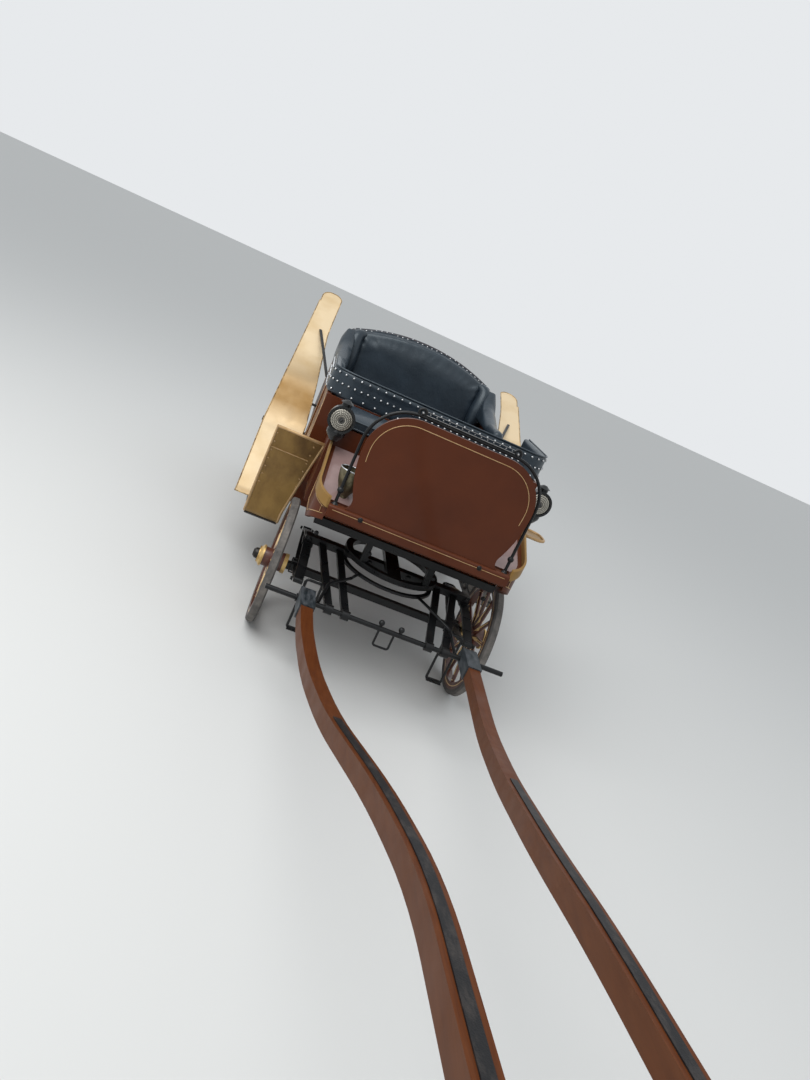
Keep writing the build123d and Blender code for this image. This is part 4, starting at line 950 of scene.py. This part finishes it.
def add_seat_rail():
    """Padded rail round the driver's back: leather held down by three rows of silver nails."""
    low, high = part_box("seat_rail")
    roll = (high.z - low.z) / 3
    seams = (low.z + roll, low.z + 2 * roll)
    rows = []
    for number, pitch in enumerate(BAND_PITCHES):
        rows += seat_rail_walk(pitch, low.z + (number + 0.5) * roll, 0.002)

    def held(point):
        return min(abs(point.z - z) for z in seams) < 0.0050 or point.z < low.z + 0.008
    stuffed("seat_rail", RAIL_SWELL, held, RAIL_PRESSURE, RAIL_VOXEL)
    seated = [(place - direction * NAIL_SUNK, direction) for place, direction in rows]
    scattered("seat_rail_nails", dome(NAIL_R, NAIL_HEIGHT), seated, "nail")
    edge = [place for place, direction in seat_rail_walk(0.02, high.z - 0.004, -0.006)]
    tube("seat_rail_piping", [edge], PIPING_R, "leather", closed=False)


def add_rear_seat():
    """Rear back and arms in leather, with nails along the back's top edge."""
    low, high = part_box("rear_back")

    def back_held(point):
        return point.y > high.y - 0.010
    back_pad = stuffed("rear_back", BACK_SWELL, back_held).data
    pad_surface = BVHTree.FromPolygons(
        [vertex.co for vertex in back_pad.vertices], [tuple(face.vertices) for face in back_pad.polygons])
    stuffed("rear_arms", ARMS_SWELL)
    for side_name, side in (("left", 1), ("right", -1)):
        route = [(Vector((side * x, low.y - ahead, z)), radius) for x, ahead, z, radius in BACK_ROLL]
        soft_roll(f"rear_back_roll_{side_name}", route)
    edge = max(surface_borders("rear_back_shell", (0, 1, 0), 0.0), key=len)
    crown = [p for p in edge if p.z > low.z + 0.20]
    crown.sort(key=lambda p: math.atan2(p.z - low.z, p.x))
    shell_low, shell_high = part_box("rear_back_shell")
    middle_y = (shell_low.y + shell_high.y) / 2
    rows = []
    welt = []
    gone = 0.0
    for a, b in zip(crown, crown[1:]):
        run = (b - a).length
        away = Vector((a.x, 0, a.z - low.z)).normalized()
        welt.append(Vector((a.x, middle_y, a.z)) - away * (WELT_R - WELT_SUNK))
        while gone < run:
            place = a + (b - a) * (gone / run)
            away = Vector((place.x, 0, place.z - low.z)).normalized()
            outward = (away + Vector((0, -1, 0))).normalized()
            top = Vector((place.x, middle_y, place.z))
            inside = top - away * NAIL_DROP + Vector((0, -NAIL_DROP, 0))
            on_pad, direction, _, _ = pad_surface.ray_cast(inside + outward * 0.08, -outward)
            if on_pad is None:
                rows.append((top - away * (WELT_R - WELT_SUNK) + outward * (WELT_R - NAIL_SUNK), outward))
            else:
                rows.append((on_pad, (direction + outward).normalized()))
            gone += NAIL_PITCH_EDGE
        gone -= run
    tube("rear_back_welt", [welt], WELT_R, "leather", closed=False)
    scattered("rear_back_nails", dome(NAIL_R, NAIL_HEIGHT), rows, "nail")


# Trim

def add_coach_lines():
    """Gold lines drawn in from the edges of the painted panels."""
    top_lines = []
    for towards in ((0, -1, 0), (0, 1, 0)):
        for line in surface_borders("dash_panel", towards, DASH_LINE_MARGIN):
            above = [point for point in line if point.z > DASH_LINE_FOOT]
            above.sort(key=lambda p: math.atan2(p.x, p.z - DASH_LINE_FOOT + 0.1))
            top_lines.append(above)
    tube("dash_lines", top_lines, LINE_R, "line", closed=False)
    # columns: node, the way its painted side looks, margin, which half
    table = (
        ("side_panel_left", (1, 0, 0), PANEL_LINE_MARGIN, None),
        ("side_panel_right", (-1, 0, 0), PANEL_LINE_MARGIN, None),
        ("rear_back_shell", (0, 1, 0), PANEL_LINE_MARGIN, None),
        ("boot_sides", (1, 0, 0), BOOT_LINE_MARGIN, 1),
        ("boot_sides", (-1, 0, 0), BOOT_LINE_MARGIN, -1),
    )
    lines = []
    for node, towards, margin, half in table:
        lines += surface_borders(node, towards, margin, half)
    tube("coach_lines", lines, LINE_R, "line")
    low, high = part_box("dash_base")
    ends = (low.x + BASE_LINE_END, high.x - BASE_LINE_END)
    base_line = [Vector((x, low.y, high.z - BASE_LINE_DROP)) for x in ends]
    tube("dash_base_line", [base_line], LINE_R * 0.8, "line", closed=False)


def add_wing_trim():
    """Rolled rims on the four mudguards, and a bead and two rows of rivets on one front mudguard."""
    # columns: node, rim radius, finish
    table = (("front_wings", WING_RIM_R, "line"), ("rear_wings", REAR_WING_RIM_R, "edge"))
    for node, radius, finish in table:
        rims = [line for half in (1, -1) for line in surface_borders(node, (0, -0.2, 1), 0.0, half)]
        tube(node + "_rims", rims, radius, finish)

    low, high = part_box("front_wings")

    def on_wing(x, z):
        return touched("front_wings", (x, low.y - 0.1, z), (0, 1, 0))
    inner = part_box("driver_box")[0].x - 0.04
    outer = low.x + 0.012
    bead = [on_wing(outer + (inner - outer) * i / 12, WING_BEAD_Z)[0] for i in range(13)]
    tube("front_wing_bead", [bead], WING_BEAD_R, "line", closed=False)
    rows = []
    top = high.z - 0.035
    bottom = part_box("steps")[1].z - 0.02
    count = round((top - bottom) / RIVET_PITCH)
    for x in (outer + 0.006, inner):
        for i in range(count + 1):
            place, direction = on_wing(x, top - (top - bottom) * i / count)
            if place:
                rows.append((place, direction))
    scattered("front_wing_rivets", dome(RIVET_R, RIVET_HEIGHT), rows, "line")


def add_bolts():
    """Bolt heads on the dash base, the body beams and the bolster."""
    base_low, base_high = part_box("dash_base")
    beam_low, beam_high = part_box("body_beams")
    beam_z = (beam_low.z + beam_high.z) / 2
    rows = both([
        ((BASE_BOLT_X, base_low.y, base_high.z - 0.013), (0, -1, 0)),
        ((beam_high.x - 0.030, beam_low.y, beam_z), (0, -1, 0)),
        ((BEAM_BOLT_X, beam_low.y, beam_z), (0, -1, 0)),
    ])
    scattered("body_bolts", bolt_head(*BODY_BOLT), rows, "iron")

    low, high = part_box("bolster")
    middle = (low.z + high.z) / 2
    rows = both([((x, y, middle), (0, way, 0))
                 for y, way in ((low.y, -1), (high.y, 1)) for x in BOLSTER_BOLTS_X])
    scattered("bolster_bolts", bolt_head(*BOLSTER_BOLT), rows, "iron", "fore_carriage")


def add_spring_clips():
    """Round clips that hold each spring to its axle, two to a spring, and bolts through its eyes."""
    for end, body in (("front", "fore_carriage"), ("rear", "body")):
        springs = f"{end}_springs"
        low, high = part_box(springs)
        axle_low, axle_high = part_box(f"{end}_axle")
        middle_y = (axle_low.y + axle_high.y) / 2
        reach = (axle_high.y - axle_low.y) / 2 + CLIP_R
        foot = axle_low.z - CLIP_R
        top = low.z + CLIP_TOP
        loops = []
        eyes = []
        for x0, x1 in spring_strips(springs):
            for y in (middle_y - reach, middle_y + reach):
                corners = ((x0 - CLIP_R, foot), (x1 + CLIP_R, foot), (x1 + CLIP_R, top), (x0 - CLIP_R, top))
                loops.append([Vector((x, y, z)) for x, z in corners])
            for y in (low.y + SPRING_EYE_INSET, high.y - SPRING_EYE_INSET):
                for x, side in ((x0, -1), (x1, 1)):
                    eyes.append((Vector((x, y, (low.z + high.z) / 2)), Vector((side, 0, 0))))
        tube(f"{end}_spring_clips", loops, CLIP_R, "iron", body)
        bolts = bolt_head(*SPRING_EYE_BOLT)
        scattered(f"{end}_spring_eye_bolts", bolts, eyes, "iron", body)


def spring_strips(node):
    """The left and right spring's lowest and highest X."""
    xs = sorted(vert.co.x for vert in nodes[node].data.vertices)
    right = [x for x in xs if x < 0]
    left = [x for x in xs if x > 0]
    return ((right[0], right[-1]), (left[0], left[-1]))


def add_lamp_lenses():
    """Pressed lens faces with raised rings, in place of the plain discs, and bowls at the lamps' feet."""
    low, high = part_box("lamp_lenses")
    radius = (high.z - low.z) / 2
    middle_z = (high.z + low.z) / 2
    thick = high.y - low.y
    for side_name, side in (("left", 1), ("right", -1)):
        centre_x = side * (high.x - radius)
        shape = [(share * radius, lift) for share, lift in LENS_PROFILE] + [(radius, -thick), (0.0, -thick)]
        bm = turned(shape, 64, (centre_x, low.y + 0.004, middle_z), (0, -1, 0))
        silver = f"lens_{side_name}"
        made[silver] = lens_silver(silver, centre_x, middle_z)
        lens = from_bmesh(f"lamp_lens_{side_name}", bm, silver)
        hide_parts("lamp_lenses")
        bowl_place = (centre_x, low.y + LAMP_BOWL_BACK, LAMP_BOWL_Z)
        bowl = turned(LAMP_BOWL_PROFILE, 48, bowl_place)
        from_bmesh(f"lamp_bowl_{side_name}", bowl, "drum")


def add_rein_wires():
    """Two thin wires with beads between them, from one scroll eye of the dash rail to the other."""
    low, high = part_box("dash_rail")
    front = low.y + 0.004
    top = high.z - 0.010
    half = SCROLL_PLACE - SCROLL_R
    wires = [[Vector((x, front, z)) for x in (-half, half)] for z in (top, top - REIN_WIRE_GAP)]
    tube("rein_wires", wires, REIN_WIRE_R, "dull", closed=False)
    count = round(2 * half / REIN_BEAD_PITCH)
    forwards = Vector((0, -1, 0))
    places = [-half + 2 * half * (i + 0.5) / count for i in range(count)]
    rows = [(Vector((x, front, top - REIN_WIRE_GAP / 2)), forwards) for x in places]
    profile = [(share * REIN_BEAD_R, lift * REIN_BEAD_R)
               for share, lift in ((0.0, 1.0), (0.8, 0.6), (1.0, 0.0), (0.8, -0.6), (0.0, -1.0))]
    scattered("rein_beads", turned(profile, 10), rows, "dull")
    hearts = [(Vector((side * SCROLL_PLACE, (low.y + high.y) / 2 - 0.006, high.z - 0.021)), forwards)
              for side in (-1, 1)]
    scattered("scroll_hearts", dome(*SCROLL_HEART), hearts, "dull")


def add_gong_rim():
    """Pale rolled rim on the foot gong."""
    low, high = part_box("foot_gong")
    radius = (high.x - low.x) / 2 - 0.002
    middle = Vector(((low.x + high.x) / 2, (low.y + high.y) / 2, high.z - 0.002))
    angles = [2 * math.pi * i / 48 for i in range(48)]
    ring = [middle + Vector((radius * math.cos(a), radius * math.sin(a), 0)) for a in angles]
    tube("gong_rim", [ring], GONG_RIM_R, "nail")


# Finishes of the CAD nodes

def paint_nodes():
    """Gives every CAD node its material."""
    made.update(
        paint=coach_paint("coach_paint", 0.12, BROWN_WORN, 0.25),
        # the footwell floor gets a painted sheen on its upward faces
        floor_paint=coach_paint("footwell_paint", 0.9, FOOTWELL_SHEEN, 0.80),
        gold=mudguard_gold("mudguard_gold", GOLD, GOLD_SHADE),
        moulding=mudguard_gold("moulding_gold", MOULDING_GOLD, GOLD_DARK),
        edge=gold_edge(),
        line=line_gold(),
        iron=painted_iron(),
        socket=worn_socket(),
        leather=seat_leather(),
        shaft=shaft_varnish(),
        strip=rub_strip(),
        tyre=tyre_rubber(),
        tread=ribbed_tread(),
        drum=lamp_enamel(),
        nail=bare_metal("nail_silver", SILVER, 0.22, 90.0),
        dull=bare_metal("dull_silver", SILVER_DULL, 0.32, 90.0),
        gong=bare_metal("gong_metal", GONG_BRONZE, 0.34, 30.0))
    table = {
        "floor_paint": ("footboard", "boot_floor"),
        "paint": ("boot_sides", "dash_base", "dash_panel", "driver_box", "front_wall",
                  "side_panel_left", "side_panel_right", "floor_pan", "front_bench", "rear_seat_box",
                  "rear_back_shell"),
        "gold": ("front_wings", "rear_wings"),
        "moulding": ("sill_mouldings",),
        "tread": ("steps",),
        "iron": ("dash_rail", "wing_stays", "flat_stays", "upper_ring", "body_beams", "rear_axle",
                 "rear_springs", "front_axle", "front_springs", "bolster", "lower_ring", "futchells",
                 "cross_bar", "hoop_and_stays", "stirrups"),
        "socket": ("shaft_sockets",),
        "shaft": ("shaft_left", "shaft_right"),
        "strip": ("shaft_strips",),
        "leather": ("driver_cushion", "front_cushion", "rear_cushion", "seat_rail", "rear_back",
                    "rear_arms"),
        "drum": ("lamp_bodies", "lamp_lenses"),
        "gong": ("foot_gong",),
    }
    for finish, names in table.items():
        for name in names:
            dress(nodes[name].data, made[finish])
    for end, spokes, first, cap_start in WHEELS:
        for side in ("left", "right"):
            low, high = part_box(f"tyre_{end}_{side}")
            radius = (high.z - low.z) / 2
            centre_y = (low.y + high.y) / 2
            centre_x = abs(low.x + high.x) / 2
            name = f"{end}_{side}"
            wood = wheel_paint(f"wheel_paint_{name}", centre_y, radius, radius - TYRE_THICK, spokes, first)
            dress(nodes[f"wheel_{name}"].data, wood)
            dress(nodes[f"tyre_{name}"].data, made["tyre"])
            dress(nodes[f"hub_{name}"].data, hub_metal(f"hub_metal_{name}", centre_x + cap_start))


# Stage

def add_floor():
    """Plain pale floor."""
    bm = bmesh.new()
    bmesh.ops.create_grid(bm, x_segments=1, y_segments=1, size=FLOOR_HALF)
    floor = in_scene("floor", mesh_of("floor", bm))
    material, shader, _ = blank_material("floor_pale", rough=0.9, shine=0.2)
    shader.inputs["Base Color"].default_value = (*FLOOR_PALE, 1.0)
    dress(floor.data, material)


def add_light():
    """Soft overhead daylight: a pale dome and one wide lamp."""
    world = bpy.data.worlds.new("studio")
    bpy.context.scene.world = world
    world.use_nodes = True
    tree = world.node_tree
    dome_light = tree.nodes["Background"]
    direction = tree.nodes.new("ShaderNodeTexCoord").outputs["Generated"]
    height = axes(direction)[2]
    tone = mixed(span(height, -0.1, 0.7), SKY_LOW, SKY_HIGH)
    plain = tree.nodes.new("ShaderNodeBackground")
    plain.inputs["Color"].default_value = (*BACKDROP, 1.0)
    plain.inputs["Strength"].default_value = 1.0
    feed(tone, dome_light.inputs["Color"])
    dome_light.inputs["Strength"].default_value = DOME_STRENGTH
    chooser = tree.nodes.new("ShaderNodeMixShader")
    rays = tree.nodes.new("ShaderNodeLightPath").outputs
    mirrored = calc("MAXIMUM", rays["Is Glossy Ray"], rays["Is Transmission Ray"])
    feed(calc("MAXIMUM", rays["Is Camera Ray"], mirrored), chooser.inputs["Fac"])
    feed(dome_light.outputs["Background"], chooser.inputs[1])
    feed(plain.outputs["Background"], chooser.inputs[2])
    feed(chooser.outputs["Shader"], tree.nodes["World Output"].inputs["Surface"])

    lamp = bpy.data.lights.new("soft_lamp", "AREA")
    lamp.shape = "RECTANGLE"
    lamp.size = LAMP_SIZE
    lamp.size_y = LAMP_SIZE
    lamp.energy = LAMP_POWER
    holder = in_scene("soft_lamp", lamp)
    holder.location = LAMP_PLACE
    aim = Vector(LAMP_AIM) - holder.location
    holder.rotation_euler = aim.to_track_quat("-Z", "Y").to_euler()


def add_camera():
    """Camera at the photograph's place, turned by its yaw, pitch and roll."""
    a, t, r = CAMERA_YAW, CAMERA_PITCH, CAMERA_ROLL
    forward = Vector((math.sin(a) * math.cos(t), math.cos(a) * math.cos(t), -math.sin(t)))
    level = Vector((math.cos(a), -math.sin(a), 0))
    upright = Vector((math.sin(a) * math.sin(t), math.cos(a) * math.sin(t), math.cos(t)))
    right = level * math.cos(r) + upright * math.sin(r)
    up = upright * math.cos(r) - level * math.sin(r)
    data = bpy.data.cameras.new("camera")
    data.sensor_fit = "VERTICAL"
    data.sensor_height = SENSOR_LONG_SIDE
    data.lens = CAMERA_LENS
    data.clip_end = 200.0
    camera = in_scene("camera", data)
    turn = Matrix((right, up, -forward)).transposed().to_4x4()
    camera.matrix_world = Matrix.Translation(CAMERA_PLACE) @ turn
    bpy.context.scene.camera = camera


paint_nodes()
add_coach_lines()
add_wing_trim()
add_bolts()
add_spring_clips()
add_lamp_lenses()
add_gong_rim()
add_rein_wires()
for cushion, swelling in CUSHIONS:
    seat_cushion(cushion, swelling)
add_seat_rail()
add_rear_seat()
add_floor()
add_light()
add_camera()
bpy.context.scene.view_settings.view_transform = "Standard"
